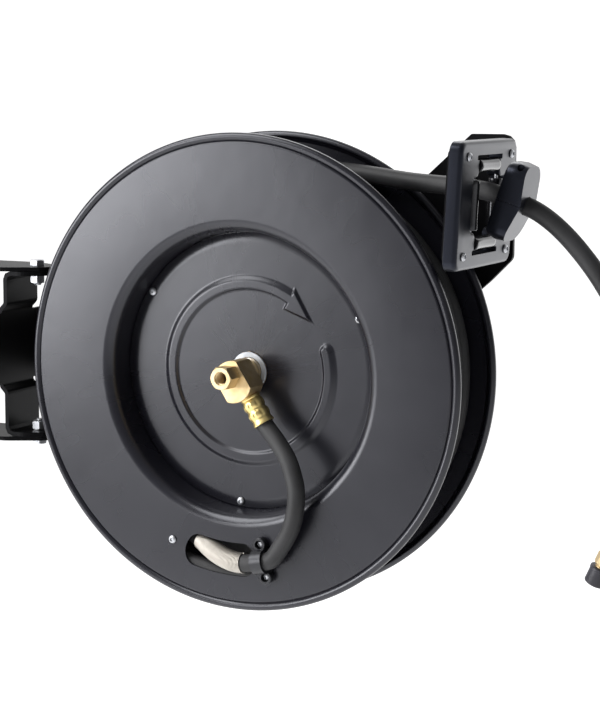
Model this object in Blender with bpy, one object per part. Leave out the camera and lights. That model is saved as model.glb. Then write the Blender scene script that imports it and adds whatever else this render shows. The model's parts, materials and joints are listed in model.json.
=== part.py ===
"""Spring-driven air hose reel on a swinging wall bracket.

World frame in metres: the wall plate's back face is x = 0, the swing axis is vertical and the
drum's axis runs along Y, with the air inlet facing -Y. Pieces of the drum and of its carrier are
drawn as seen from the front: x to the right, y up, z towards the viewer.
"""

import math

import bmesh
import bpy
from mathutils import Matrix, Vector

# Clearances
GAP = 0.0003
SCREW_CLEARANCE = 0.0003
HOSE_CLEARANCE = 0.0005

# Hose
HOSE_RADIUS = 0.0080
WRAPS = 5
WRAP_PITCH = 0.0169
BURIED_LAYERS = 2
LAYER_PITCH = 0.0164
SIDE_PLAY = 0.0006
LOOP_POINTS = 24
LEAVE_ANGLE = 85.0
CROSSOVER_START = 62.0
CROSSOVER_END = 22.0
POCKET_START = -122.0
POCKET_END = -58.0
POCKET_DEPTH = 0.0260
POCKET_LIFT = 0.0065

# Drum, from the flange's edge inwards: the barrel, the dish's wall and the spring's case
FLANGE_RADIUS = 0.2160
WINDING_DEPTH = 0.0720
RECESS_MARGIN = 0.0080
CASE_MARGIN = 0.0230
SHEET = 0.0016
BEAD_RADIUS = 0.0045
BEAD_PROUD = 0.0010
GROOVE_DEPTH = 0.0036
RECESS_TAPER = 0.0100
FRONT_RECESS = 0.0280
BACK_RECESS = 0.0120
CASE_DEPTH = 0.0400
COVER_SCREW_MARGIN = 0.0035
COVER_SCREW_ANGLE = 26.0
ROUND_STEPS = 40

# Raised arrow on the spring cover
ARROW_RADIUS = 0.0800
ARROW_WIDTH = 0.0118
ARROW_HEIGHT = 0.0020
ARROW_TAIL_ANGLE = 20.0
ARROW_NECK_ANGLE = -301.0
ARROW_TIP_ANGLE = -322.0
ARROW_HEAD_WIDTH = 0.0255

# Slot for the hose in the front flange, and the screw beside it, set back from the flange's edge
SLOT_SETBACK = 0.04745
SLOT_WIDTH = 0.0305
SLOT_START_ANGLE = -107.5
SLOT_END_ANGLE = -83.0
SLOT_CORNER = 0.0120
FLANGE_SCREW_SETBACK = 0.0464
FLANGE_SCREW_ANGLE = 247.6

# Axle and bearings
AXLE_RADIUS = 0.0125
AXLE_THREAD_RADIUS = 0.0100
AXLE_SHOULDER_RADIUS = 0.0225
AXLE_SHOULDER = 0.0040
AXLE_FRONT_DEPTH = 0.0266
BEARING_RADIUS = 0.0180
BEARING_LENGTH = 0.0100
HUB_WALL = 0.0040
COLLAR_THICKNESS = 0.0014
RUNNING_GAP = 0.0003

# Mainspring
SPRING_STRIP = 0.0010
SPRING_WIDTH = 0.0260
SPRING_TURNS = 6
SPRING_STEPS = 10
SPRING_SLOT_DEPTH = 0.0040

# Ratchet
TEETH = 12
RATCHET_RADIUS = 0.0520
TOOTH_DEPTH = 0.0080
RATCHET_THICKNESS = 0.0060
RATCHET_HUB_RADIUS = 0.0260
RATCHET_STANDOFF = 0.0160
PAWL_TOOTH_ANGLE = -30.0
PAWL_REACH = 0.0460
PAWL_LIFT = 0.0060
PAWL_PLAY = 0.0008
PAWL_NOSE = 0.0070
PAWL_HOLLOW_REACH = 0.0200
PAWL_HOLLOW_LIFT = 0.0036
PAWL_BOSS_RADIUS = 0.0080
PAWL_PIN_RADIUS = 0.0040
PAWL_HEAD_RADIUS = 0.0065
PAWL_HEAD = 0.0030
PAWL_SPRING_WIRE = 0.0012
PAWL_SPRING_TURNS = 4

# Brass swivel, inlet and hose ferrule
SWIVEL_RADIUS = 0.0190
SWIVEL_FLATS = 0.0260
SWIVEL_FRONT = 0.0065
SWIVEL_BACK = -0.0170
SHANK_RADIUS = 0.0105
STEM_RADIUS = 0.0064
STEM_THREAD_DEPTH = 0.0180
INLET_HEX = 0.0175
INLET_LENGTH = 0.0196
INLET_BORE_RADIUS = 0.0057
INLET_BORE_DEPTH = 0.0150
AIR_PASSAGE_RADIUS = 0.0035
OUTLET_ANGLE = -57.0
OUTLET_DEPTH = -0.0045
FERRULE_RADIUS = 0.0100
FERRULE_START = 0.0195
FERRULE_LENGTH = 0.0310
FERRULE_SOCKET = 0.0100
FERRULE_NIPPLE_RADIUS = 0.0055
FERRULE_RIBS = 6

# Saddle that holds the hose on the front flange
SADDLE_X = 0.0310
SADDLE_SETBACK = 0.0505
SADDLE_TURN = 12.0
SADDLE_WIDTH = 0.0110
SADDLE_WALL = 0.0024
SADDLE_SCREW_SPACING = 0.0300
SADDLE_HOSE_HEIGHT = 0.0105

# Kink guard: close coil of wire round the hose where it enters the slot
GUARD_WIRE = 0.0018
GUARD_PITCH = 0.0036
GUARD_CURLS = 15
GUARD_CURL_POINTS = 8

# Carrier: folded channel at the swing axis and the arm behind the drum
PIVOT_TO_AXLE = 0.2425
FRONT_TO_PIVOT = 0.0500
ARM_SHEET = 0.0040
ARM_DEPTH = 0.1180
BEND_RADIUS = 0.0060
LUG_HALF_HEIGHT = 0.0797
LUG_HALF_WIDTH = 0.0265
LUG_TIP_RADIUS = 0.0180
WEB_TO_PIVOT = 0.0200
WEB_RECESS = 0.0060
WEB_RECESS_TOP = 0.0420
WEB_RECESS_BOTTOM = -0.0320
WEB_EAR = 0.0500
ARM_BOSS_RADIUS = 0.0600

# Guide arm, its outer end measured from the guide's face and height
GUIDE_BOSS_RADIUS = 0.0560
GUIDE_BOLT_CIRCLE = 0.0440
GUIDE_BOLT_ANGLES = (135.0, 315.0)
GUIDE_ARM_SETBACK = 0.0018
GUIDE_ARM_RISE = 0.0575
GUIDE_ARM_DROP = 0.0520
GUIDE_CORNER = 0.0110
GUIDE_FLANGE_SHEET = 0.0030

# Roller guide
GUIDE_FACE = 0.2198
GUIDE_HEIGHT = 0.1560
GUIDE_PITCH = 3.0
HOUSING_WIDTH = 0.1300
HOUSING_HEIGHT = 0.1080
HOUSING_THICKNESS = 0.0120
HOUSING_CORNER = 0.0090
HOUSING_EDGE = 0.0035
ROLLER_RADIUS = 0.0062
ROLLER_SETBACK = 0.0040
SIDE_ROLLER_SPACING = 0.0540
SIDE_ROLLER_LENGTH = 0.0425
LEVEL_ROLLER_SPACING = 0.0660
LEVEL_ROLLER_LENGTH = 0.0440
POCKET_GAP = 0.0010
PIN_RADIUS = 0.0015
PIN_HOLD = 0.0060
CORE_OUT_LENGTH = 0.0570
CORE_OUT_HEIGHT = 0.0040
CORE_OUT_CENTRE = 0.0400
HOUSING_SCREW_WIDTH = 0.0990
HOUSING_SCREW_HEIGHT = 0.0830

# Hose stop: two moulded halves clamped on the hose, just outside the roller guide
STOP_STANDOFF = 0.0147
STOP_RISE = 0.0062
STOP_PITCH = 19.0
STOP_LENGTH = 0.0270
STOP_TALL = 0.0680
STOP_WIDE = 0.0460
STOP_SCREW_SPACING = 0.0300
STOP_SCREW_SETBACK = 0.0110

# End fitting of the hose and its cap
FITTING_RADIUS = 0.0085
FITTING_LENGTH = 0.0320
FITTING_SPIGOT = 0.0060
CAP_RADIUS = 0.0098
CAP_LENGTH = 0.0160

# Wall bracket, whose arms lie on the carrier's lugs
WALL_TO_PIVOT = 0.1250
BRACKET_SHEET = 0.0040
BRACKET_PLATE_WIDTH = 0.1100
BRACKET_ARM_WIDTH = 0.0660
WALL_BOLT_SPACING_Y = 0.0760
WALL_BOLT_SPACING_Z = 0.1100
WALL_BOLT_HOLE = 0.0045

# Fasteners: radius of the shank, width of the head or nut across its flats, head height
SWING_BOLT = (0.0040, 0.0130, 0.0053)
SWING_NUT_HEIGHT = 0.0080
ARM_BOLT = (0.0040, 0.0130, 0.0053)
SMALL_SCREW = (0.0020, 0.0076, 0.0024)
STOP_SCREW = (0.0016, 0.0055, 0.0020)
AXLE_NUT = (0.0100, 0.0300, 0.0100)

# Places worked out from the sizes above
PIVOT_X = WALL_TO_PIVOT
DRUM_X = PIVOT_X + PIVOT_TO_AXLE
FRONT_Y = -FRONT_TO_PIVOT
WINDING_WIDTH = (WRAPS - 1) * WRAP_PITCH + 2 * HOSE_RADIUS + 2 * SIDE_PLAY
DRUM_WIDTH = WINDING_WIDTH + 2 * SHEET
DRUM_MIDDLE = -DRUM_WIDTH / 2
BARREL_RADIUS = FLANGE_RADIUS - WINDING_DEPTH
SURFACE_RADIUS = BARREL_RADIUS + HOSE_RADIUS + GAP + BURIED_LAYERS * LAYER_PITCH
RECESS_RADIUS = BARREL_RADIUS - RECESS_MARGIN
RECESS_FLOOR_RADIUS = RECESS_RADIUS - RECESS_TAPER
CASE_RADIUS = RECESS_RADIUS - CASE_MARGIN
COVER_RADIUS = RECESS_FLOOR_RADIUS - SHEET
COVER_SCREW_CIRCLE = COVER_RADIUS - COVER_SCREW_MARGIN
SLOT_MIDDLE_RADIUS = FLANGE_RADIUS - SLOT_SETBACK
SLOT_INNER_RADIUS = SLOT_MIDDLE_RADIUS - SLOT_WIDTH / 2
SLOT_OUTER_RADIUS = SLOT_MIDDLE_RADIUS + SLOT_WIDTH / 2
FLANGE_SCREW_RADIUS = FLANGE_RADIUS - FLANGE_SCREW_SETBACK
SADDLE_Y = SADDLE_SETBACK - FLANGE_RADIUS
COVER_BACK = -FRONT_RECESS - SHEET
LIP_FRONT = COVER_BACK - GAP
BACK_DISC_REAR = -DRUM_WIDTH + BACK_RECESS
RATCHET_FRONT = BACK_DISC_REAR - GAP - RATCHET_STANDOFF
GUIDE_ARM_FRONT = -ARM_DEPTH + GAP + ARM_SHEET
GUIDE_RIGHT = GUIDE_FACE - GUIDE_ARM_SETBACK
GUIDE_TOP = GUIDE_HEIGHT + GUIDE_ARM_RISE
GUIDE_BOTTOM_RIGHT = GUIDE_HEIGHT - GUIDE_ARM_DROP
STOP_X = GUIDE_FACE + STOP_STANDOFF
STOP_HEIGHT = GUIDE_HEIGHT + STOP_RISE
BRACKET_HALF_HEIGHT = LUG_HALF_HEIGHT + GAP + BRACKET_SHEET

STEEL_BLACK = ("powder coat", (0.012, 0.012, 0.013), 0.42, 0.0)
PRESSED_BLACK = ("pressed steel", (0.020, 0.020, 0.023), 0.38, 0.0)
ZINC = ("zinc", (0.62, 0.62, 0.60), 0.30, 1.0)
STEEL = ("steel", (0.45, 0.45, 0.46), 0.35, 1.0)
SPRING_STEEL = ("spring steel", (0.20, 0.21, 0.24), 0.35, 1.0)
BRASS = ("brass", (0.72, 0.52, 0.24), 0.28, 1.0)
RUBBER = ("rubber", (0.018, 0.018, 0.019), 0.60, 0.0)
PLASTIC = ("moulded plastic", (0.022, 0.023, 0.028), 0.35, 0.0)
ROLLER_PLASTIC = ("roller plastic", (0.008, 0.008, 0.009), 0.20, 0.0)
BRONZE = ("bearing bronze", (0.45, 0.30, 0.16), 0.40, 1.0)


def clear_scene():
    """Empty the scene of whatever it opened with."""
    for item in list(bpy.data.objects):
        bpy.data.objects.remove(item, do_unlink=True)


def material(look):
    """Return a fresh material for one object from a tuple of its looks."""
    name, colour, roughness, metallic = look
    result = bpy.data.materials.new(name)
    result.use_nodes = True
    shader = result.node_tree.nodes["Principled BSDF"]
    shader.inputs["Base Color"].default_value = (*colour, 1.0)
    shader.inputs["Roughness"].default_value = roughness
    shader.inputs["Metallic"].default_value = metallic
    result.diffuse_color = (*colour, 1.0)
    return result


def polar(radius, degrees):
    """Point at a radius and an angle, counter-clockwise as seen from the front."""
    angle = math.radians(degrees)
    return Vector((radius * math.cos(angle), radius * math.sin(angle)))


def solid(name, bm):
    """Turn a bmesh into a smooth-shaded object with its faces pointing out."""
    bmesh.ops.remove_doubles(bm, verts=bm.verts, dist=1e-6)
    bmesh.ops.recalc_face_normals(bm, faces=bm.faces)
    mesh = bpy.data.meshes.new(name)
    bm.to_mesh(mesh)
    bm.free()
    mesh.shade_smooth()
    mesh.set_sharp_from_angle(angle=math.radians(30))
    result = bpy.data.objects.new(name, mesh)
    bpy.context.collection.objects.link(result)
    return result


def place(item, look, parent=None, matrix=None):
    """Give an object its material and its place under a parent."""
    item.data.materials.clear()
    item.data.materials.append(material(look))
    item.parent = parent
    if matrix is not None:
        item.matrix_local = matrix
    return item


def bridge_rings(bm, rings, closed_ring=True):
    """Skin quads between successive rings of equally many vertices."""
    count = len(rings[0])
    for near, far in zip(rings, rings[1:]):
        for k in range(count if closed_ring else count - 1):
            n = (k + 1) % count
            bm.faces.new((near[k], near[n], far[n], far[k]))


def loft(name, sections):
    """Solid through successive outlines of equally many points, capped at both ends."""
    bm = bmesh.new()
    rings = [[bm.verts.new(p) for p in section] for section in sections]
    bridge_rings(bm, rings)
    bm.faces.new(rings[0])
    bm.faces.new(rings[-1])
    return solid(name, bm)


def prism(name, outline, low, high):
    """Solid between two heights over a flat outline."""
    return loft(name, [[(p[0], p[1], z) for p in outline] for z in (low, high)])


def revolve(name, profile, steps=ROUND_STEPS):
    """Solid turned about Z from an outline of (radius, height) points, closed or ending on the axis."""
    on_axis = profile[0][0] == 0 and profile[-1][0] == 0
    bm = bmesh.new()
    rings = []
    for k in range(steps):
        turn = Matrix.Rotation(2 * math.pi * k / steps, 3, "Z")
        rings.append([bm.verts.new(turn @ Vector((r, 0, z))) for r, z in profile])
    bridge_rings(bm, rings + rings[:1], closed_ring=not on_axis)
    return solid(name, bm)


def circle(radius, steps, centre=(0.0, 0.0)):
    """Outline of a circle."""
    return [Vector(centre) + polar(radius, 360 * k / steps) for k in range(steps)]


def hexagon(across_flats):
    """Outline of a hexagon."""
    return circle(across_flats / math.sqrt(3), 6)


def cylinder(name, radius, low, high, steps=16, centre=(0.0, 0.0)):
    """Round bar along Z."""
    return prism(name, circle(radius, steps, centre), low, high)


def drill(radius, low, high, steps=12, centre=(0.0, 0.0)):
    """Cutter for a round hole along Z whose flats clear the radius."""
    return cylinder("drill", radius / math.cos(math.pi / steps), low, high, steps, centre)


def box(name, low, high):
    """Box between two corners."""
    outline = [(low[0], low[1]), (high[0], low[1]), (high[0], high[1]), (low[0], high[1])]
    return prism(name, outline, low[2], high[2])


def rounded(points, radii, steps=4, closed=True):
    """Path with each corner replaced by an arc of its own radius."""
    corners = [Vector(p) for p in points]
    if isinstance(radii, float):
        radii = [radii] * len(corners)
    result = []
    last = len(corners) - 1
    for k, corner in enumerate(corners):
        if radii[k] == 0 or (not closed and k in (0, last)):
            result.append(corner)
            continue
        before = (corners[k - 1] - corner).normalized()
        after = (corners[(k + 1) % len(corners)] - corner).normalized()
        half = before.angle(after) / 2
        start = corner + before * radii[k] / math.tan(half)
        end = corner + after * radii[k] / math.tan(half)
        centre = corner + (before + after).normalized() * radii[k] / math.sin(half)
        for s in range(steps + 1):
            result.append(centre + arc_point(start - centre, end - centre, s / steps))
    return result


def arc_point(start, end, share):
    """Point part of the way along the arc between two spokes of equal length."""
    angle = start.angle(end)
    if angle < 1e-6:
        return start.lerp(end, share)
    return (start * math.sin((1 - share) * angle) + end * math.sin(share * angle)) / math.sin(angle)


def rounded_rectangle(width, height, corner, steps=3):
    """Outline of a rectangle with rounded corners, centred."""
    x, y = width / 2, height / 2
    return rounded([(-x, -y), (x, -y), (x, y), (-x, y)], corner, steps)


def sheet_outline(path, thickness):
    """Closed outline of a sheet of constant thickness along a centre path."""
    sides = ([], [])
    for k, point in enumerate(path):
        back = (point - path[k - 1]).normalized() if k else None
        ahead = (path[k + 1] - point).normalized() if k + 1 < len(path) else None
        direction = ((back or ahead) + (ahead or back)).normalized()
        normal = Vector((-direction.y, direction.x))
        mitre = direction.dot(ahead or back)
        sides[0].append(point + normal * thickness / 2 / mitre)
        sides[1].append(point - normal * thickness / 2 / mitre)
    return sides[0] + sides[1][::-1]


def boolean(operation, target, *tools):
    """Apply an exact Boolean of one object with others, which are used up."""
    for tool in tools:
        modifier = target.modifiers.new(operation, "BOOLEAN")
        modifier.operation = operation
        modifier.solver = "EXACT"
        modifier.object = tool
        graph = bpy.context.evaluated_depsgraph_get()
        mesh = bpy.data.meshes.new_from_object(target.evaluated_get(graph))
        target.modifiers.clear()
        target.data = mesh
        bpy.data.objects.remove(tool, do_unlink=True)
    return target


def cut(target, *tools):
    """Cut tools out of a solid."""
    return boolean("DIFFERENCE", target, *tools)


def join(target, *tools):
    """Weld solids into one."""
    return boolean("UNION", target, *tools)


def keep(target, *tools):
    """Trim a solid to what lies inside the tools."""
    return boolean("INTERSECT", target, *tools)


def turned(item, matrix):
    """Move an object's mesh by a matrix."""
    item.data.transform(matrix)
    return item


def frame_matrix(origin, x_axis, y_axis, z_axis):
    """Matrix of a frame with its origin and its three axes."""
    result = Matrix((x_axis, y_axis, z_axis)).transposed().to_4x4()
    result.translation = Vector(origin)
    return result


def empty(name, matrix, parent=None):
    """Marker for a joint axis or a frame of reference."""
    result = bpy.data.objects.new(name, None)
    result.empty_display_size = 0.05
    bpy.context.collection.objects.link(result)
    result.parent = parent
    result.matrix_local = parent.matrix_world.inverted() @ matrix if parent else matrix
    bpy.context.view_layer.update()
    return result


def smooth_curve(points, spacing):
    """Read points at an even spacing from a smooth curve through chosen points."""
    knots = [Vector(p) for p in points]
    knots = [2 * knots[0] - knots[1]] + knots + [2 * knots[-1] - knots[-2]]
    fine = []
    for a, b, c, d in zip(knots, knots[1:], knots[2:], knots[3:]):
        for s in range(24):
            t = s / 24
            fine.append(0.5 * (2 * b + (c - a) * t + (2 * a - 5 * b + 4 * c - d) * t**2
                               + (3 * b - a - 3 * c + d) * t**3))
    fine.append(knots[-2])
    lengths = [0.0]
    for a, b in zip(fine, fine[1:]):
        lengths.append(lengths[-1] + (b - a).length)
    steps = max(2, round(lengths[-1] / spacing))
    result = []
    near = 0
    for s in range(steps + 1):
        want = lengths[-1] * s / steps
        while near < len(fine) - 2 and lengths[near + 1] < want:
            near += 1
        share = (want - lengths[near]) / (lengths[near + 1] - lengths[near])
        result.append(fine[near].lerp(fine[near + 1], min(1.0, share)))
    return result


def tube(name, points, radius, sides_level=2):
    """Round tube as a bevelled curve with filled caps."""
    curve = bpy.data.curves.new(name, "CURVE")
    curve.dimensions = "3D"
    curve.bevel_depth = radius
    curve.bevel_resolution = sides_level
    curve.use_fill_caps = True
    spline = curve.splines.new("POLY")
    spline.points.add(len(points) - 1)
    for slot, point in zip(spline.points, points):
        slot.co = (*point, 1.0)
    result = bpy.data.objects.new(name, curve)
    bpy.context.collection.objects.link(result)
    return result


def hex_bolt(name, bolt, length):
    """Hexagon bolt: the head stands on z = 0 upwards, the shank runs down."""
    radius, across, height = bolt
    head = prism(name, hexagon(across), 0.0, height)
    return join(head, cylinder("shank", radius, -length, height / 2, 12))


def button_screw(name, screw, length, socket=0.0011):
    """Domed screw with a hexagon socket: the head stands on z = 0, the shank runs down."""
    radius, across, height = screw
    outer = across / 2
    profile = [(0.0, -length), (radius, -length), (radius, 0.0), (outer, 0.0),
               (outer * 0.85, height * 0.7), (socket, height), (socket, height * 0.4),
               (0.0, height * 0.4)]
    return revolve(name, profile, 8)


def hex_nut(name, nut_radius, across, height):
    """Hexagon nut standing on z = 0."""
    nut = prism(name, hexagon(across), 0.0, height)
    hole = drill(nut_radius + SCREW_CLEARANCE, -height, 2 * height, 12)
    return cut(nut, hole)


def wall_bracket():
    """U of folded sheet: the wall plate with two arms that hold the swing bolts."""
    half = BRACKET_HALF_HEIGHT - BRACKET_SHEET / 2
    reach = PIVOT_X + LUG_TIP_RADIUS
    back = BRACKET_SHEET / 2
    path = rounded([(reach, -half), (back, -half), (back, half), (reach, half)],
                   BEND_RADIUS, 3, closed=False)
    profile = sheet_outline(path, BRACKET_SHEET)
    wide = BRACKET_PLATE_WIDTH
    bracket = prism("wall_bracket", profile, -wide, wide)
    turned(bracket, frame_matrix((0, 0, 0), (1, 0, 0), (0, 0, 1), (0, -1, 0)))
    arm = BRACKET_ARM_WIDTH / 2
    waist = 0.35 * PIVOT_X
    plan = rounded([(-0.01, -wide / 2), (0.016, -wide / 2), (waist, -arm), (PIVOT_X - 0.02, -arm),
                    (reach, -LUG_TIP_RADIUS * 0.7), (reach, LUG_TIP_RADIUS * 0.7),
                    (PIVOT_X - 0.02, arm), (waist, arm), (0.016, wide / 2), (-0.01, wide / 2)],
                   [0.0, 0.006, 0.020, 0.020, 0.011, 0.011, 0.020, 0.020, 0.006, 0.0], 2)
    keep(bracket, prism("plan", plan, -wide, wide))
    radius = SWING_BOLT[0] + SCREW_CLEARANCE
    cut(bracket, drill(radius, -0.2, 0.2, 12, (PIVOT_X, 0.0)))
    for y in (-WALL_BOLT_SPACING_Y / 2, WALL_BOLT_SPACING_Y / 2):
        for z in (-WALL_BOLT_SPACING_Z / 2, WALL_BOLT_SPACING_Z / 2):
            hole = drill(WALL_BOLT_HOLE, -0.02, 0.02, 12, (y, z))
            cut(bracket, turned(hole, frame_matrix((0, 0, 0), (0, 1, 0), (0, 0, 1), (1, 0, 0))))
    place(bracket, STEEL_BLACK)


def swing_fasteners():
    """Bolt and nut at each end of the swing axis."""
    for name, side in (("top", 1), ("bottom", -1)):
        length = 2 * BRACKET_SHEET + SWING_NUT_HEIGHT + 0.003
        up = Matrix.Diagonal((1, side, side, 1))
        seat = Matrix.Translation((PIVOT_X, 0, side * (BRACKET_HALF_HEIGHT + GAP)))
        place(hex_bolt(f"swing_bolt_{name}", SWING_BOLT, length), ZINC, None, seat @ up)
        under = LUG_HALF_HEIGHT - ARM_SHEET - GAP - SWING_NUT_HEIGHT
        nut = hex_nut(f"swing_nut_{name}", SWING_BOLT[0], SWING_BOLT[1], SWING_NUT_HEIGHT)
        place(nut, ZINC, None, Matrix.Translation((PIVOT_X, 0, side * under)) @ up)


def main_arm(parent):
    """Folded channel with two lugs on the swing axis, and the arm behind the drum."""
    web = -WEB_TO_PIVOT
    low_web = web - WEB_RECESS
    lug = LUG_HALF_HEIGHT - ARM_SHEET / 2
    tip = LUG_TIP_RADIUS
    path = rounded([(tip, -lug), (web, -lug), (web, WEB_RECESS_BOTTOM - WEB_RECESS),
                    (low_web, WEB_RECESS_BOTTOM), (low_web, WEB_RECESS_TOP),
                    (web, WEB_RECESS_TOP + WEB_RECESS), (web, lug), (tip, lug)],
                   [0.0, BEND_RADIUS, 0.004, 0.004, 0.004, 0.004, BEND_RADIUS, 0.0], 2, closed=False)
    arm = prism("main_arm", sheet_outline(path, ARM_SHEET), -LUG_HALF_WIDTH, LUG_HALF_WIDTH)
    turned(arm, frame_matrix((0, 0, 0), (1, 0, 0), (0, 0, 1), (0, -1, 0)))
    half = LUG_HALF_WIDTH
    plan = rounded([(-0.1, -half), (0.0, -half), (tip, -0.012), (tip, 0.012), (0.0, half), (-0.1, half)],
                   [0.0, 0.015, 0.010, 0.010, 0.015, 0.0], 3)
    keep(arm, prism("plan", plan, -0.2, 0.2))

    rear = ARM_DEPTH + ARM_SHEET / 2 - FRONT_TO_PIVOT
    bend = rounded([(low_web, -WEB_EAR), (low_web, rear), (PIVOT_TO_AXLE + 0.1, rear)],
                   [0.0, BEND_RADIUS, 0.0], 3, closed=False)
    strap = prism("strap", sheet_outline(bend, ARM_SHEET), -0.1, 0.1)
    boss = ARM_BOSS_RADIUS
    top = WEB_RECESS_TOP - 0.003
    bottom = WEB_RECESS_BOTTOM + 0.003
    axle = PIVOT_TO_AXLE
    start = 0.030
    over = [Vector((axle, 0.0)) + polar(boss, a) for a in range(100, -101, -20)]
    outline = [(-0.1, bottom), (start, bottom), (start + 0.05, -boss + 0.004)]
    outline += [tuple(p) for p in over[::-1]]
    outline += [(start + 0.05, boss - 0.004), (start, top), (-0.1, top)]
    side_view = prism("side", outline, -0.2, 0.2)
    turned(side_view, frame_matrix((0, 0, 0), (1, 0, 0), (0, 0, 1), (0, -1, 0)))
    join(arm, keep(strap, side_view))

    cut(arm, drill(SWING_BOLT[0] + SCREW_CLEARANCE, -0.2, 0.2, 12))
    face = frame_matrix((axle, 0, 0), (1, 0, 0), (0, 0, 1), (0, -1, 0))
    for hole in arm_holes():
        cut(arm, turned(hole, face))
    return place(arm, STEEL_BLACK, parent)


def arm_holes():
    """Cutters for the axle, the guide arm's bolts and the pawl's pin, through both arms."""
    holes = [drill(AXLE_THREAD_RADIUS + GAP, -0.2, 0.2, 20)]
    for angle in GUIDE_BOLT_ANGLES:
        centre = polar(GUIDE_BOLT_CIRCLE, angle)
        holes.append(drill(ARM_BOLT[0] + SCREW_CLEARANCE, -0.2, 0.2, 12, centre))
    pin = PAWL_PIN_RADIUS + SCREW_CLEARANCE
    holes.append(drill(pin, -0.2, 0.2, 12, pawl_pivot()))
    return holes


def pawl_tangents():
    """Unit vectors at the pawl's tooth: along the wheel's rim, and out from the axle."""
    return polar(1.0, PAWL_TOOTH_ANGLE + 90), polar(1.0, PAWL_TOOTH_ANGLE)


def pawl_tip():
    """Where the pawl's tip rests in its tooth."""
    return polar(RATCHET_RADIUS - TOOTH_DEPTH + PAWL_PLAY, PAWL_TOOTH_ANGLE)


def pawl_pivot():
    """Centre of the pawl's pin, as seen from the front."""
    along, out = pawl_tangents()
    return pawl_tip() + along * PAWL_REACH + out * PAWL_LIFT


def guide_arm(front):
    """Arm on the main arm, with a welded flange that carries the roller guide."""
    boss = GUIDE_BOSS_RADIUS
    right, low = GUIDE_RIGHT, GUIDE_BOTTOM_RIGHT
    upper = [tuple(polar(boss, a)) for a in range(140, 291, 15)]
    outline = [(right - 0.0820, GUIDE_TOP - 0.0368), (0.0950, 0.1400)] + upper
    outline += [(0.1030, 0.0000), (right - 0.0200, low - 0.0201), (right, low), (right, GUIDE_TOP),
                (right - 0.0410, GUIDE_TOP)]
    radii = [0.02, 0.05] + [0.0] * len(upper) + [0.03, 0.05, 0.008, GUIDE_CORNER, 0.003]
    arm = prism("guide_arm", rounded(outline, radii, 3), GUIDE_ARM_FRONT - ARM_SHEET, GUIDE_ARM_FRONT)
    for hole in arm_holes():
        cut(arm, hole)
    flange = turned(guide_flange(), guide_in_front_view())
    join(arm, flange)
    return place(arm, STEEL_BLACK, front)


def guide_flange():
    """Flange plate behind the roller guide's housing, in the guide's frame."""
    back = -HOUSING_THICKNESS - GAP
    left = -HOUSING_WIDTH / 2 + 0.006
    weld = -GUIDE_ARM_FRONT + DRUM_MIDDLE + 0.001
    height = HOUSING_HEIGHT - 0.012
    outline = rounded([(left, -height / 2), (weld, -height / 2), (weld, height / 2), (left, height / 2)],
                      [0.008, 0.0, 0.0, 0.008], 3)
    plate = prism("flange", outline, back - GUIDE_FLANGE_SHEET, back)
    window = rounded_rectangle(SIDE_ROLLER_SPACING + 0.018, LEVEL_ROLLER_SPACING + 0.018, 0.006, 2)
    cut(plate, prism("window", window, back - 0.02, back + 0.02))
    for y, z in housing_screw_places():
        radius = SMALL_SCREW[0] + SCREW_CLEARANCE
        cut(plate, drill(radius, back - 0.02, back + 0.02, 12, (y, z)))
    return turned(plate, guide_face())


def housing_screw_places():
    """Centres of the four screws that hold the guide's housing."""
    y, z = HOUSING_SCREW_WIDTH / 2, HOUSING_SCREW_HEIGHT / 2
    return [(-y, z), (y, z), (-y, -z), (y, -z)]


def guide_face():
    """Turn a drawing of the guide's face, seen from outside, into the guide's frame."""
    return frame_matrix((0, 0, 0), (0, 1, 0), (0, 0, 1), (1, 0, 0))


def guide_matrix():
    """Guide's frame in the world: x out of the window, y along the drum's axis."""
    centre = Matrix.Translation((DRUM_X + GUIDE_FACE, FRONT_Y - DRUM_MIDDLE, GUIDE_HEIGHT))
    return centre @ Matrix.Rotation(math.radians(GUIDE_PITCH), 4, "Y")


def front_matrix():
    """Front view's frame in the world: origin on the drum's axis in the front flange's face."""
    return frame_matrix((DRUM_X, FRONT_Y, 0), (1, 0, 0), (0, 0, 1), (0, -1, 0))


def guide_in_front_view():
    """Guide's frame as seen in the front view's frame."""
    return front_matrix().inverted() @ guide_matrix()


def axle(front):
    """Fixed axle: shouldered and threaded at the arm, tapped for the air stem in front."""
    shoulder_front = GUIDE_ARM_FRONT + GAP + AXLE_SHOULDER
    tail = -ARM_DEPTH - ARM_SHEET - GAP - AXLE_NUT[2] - 0.004
    tap = STEM_RADIUS + GAP
    depth = AXLE_FRONT_DEPTH + STEM_THREAD_DEPTH + 0.001
    profile = [(0.0, tail), (AXLE_THREAD_RADIUS, tail), (AXLE_THREAD_RADIUS, GUIDE_ARM_FRONT + GAP),
               (AXLE_SHOULDER_RADIUS, GUIDE_ARM_FRONT + GAP), (AXLE_SHOULDER_RADIUS, shoulder_front),
               (AXLE_RADIUS, shoulder_front), (AXLE_RADIUS, -AXLE_FRONT_DEPTH),
               (tap, -AXLE_FRONT_DEPTH), (tap, -depth), (0.0, -depth)]
    bar = revolve("axle", profile, 16)
    low, high = mainspring_span()
    slot = SPRING_STRIP / 2 + GAP
    cut(bar, box("slot", (AXLE_RADIUS - SPRING_SLOT_DEPTH - GAP, -slot, low - GAP),
                 (AXLE_RADIUS + 0.01, slot, high + GAP)))
    place(bar, STEEL, front)
    nut = hex_nut("axle_nut", *AXLE_NUT)
    place(nut, ZINC, front, Matrix.Translation((0, 0, -ARM_DEPTH - ARM_SHEET - GAP - AXLE_NUT[2])))


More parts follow.
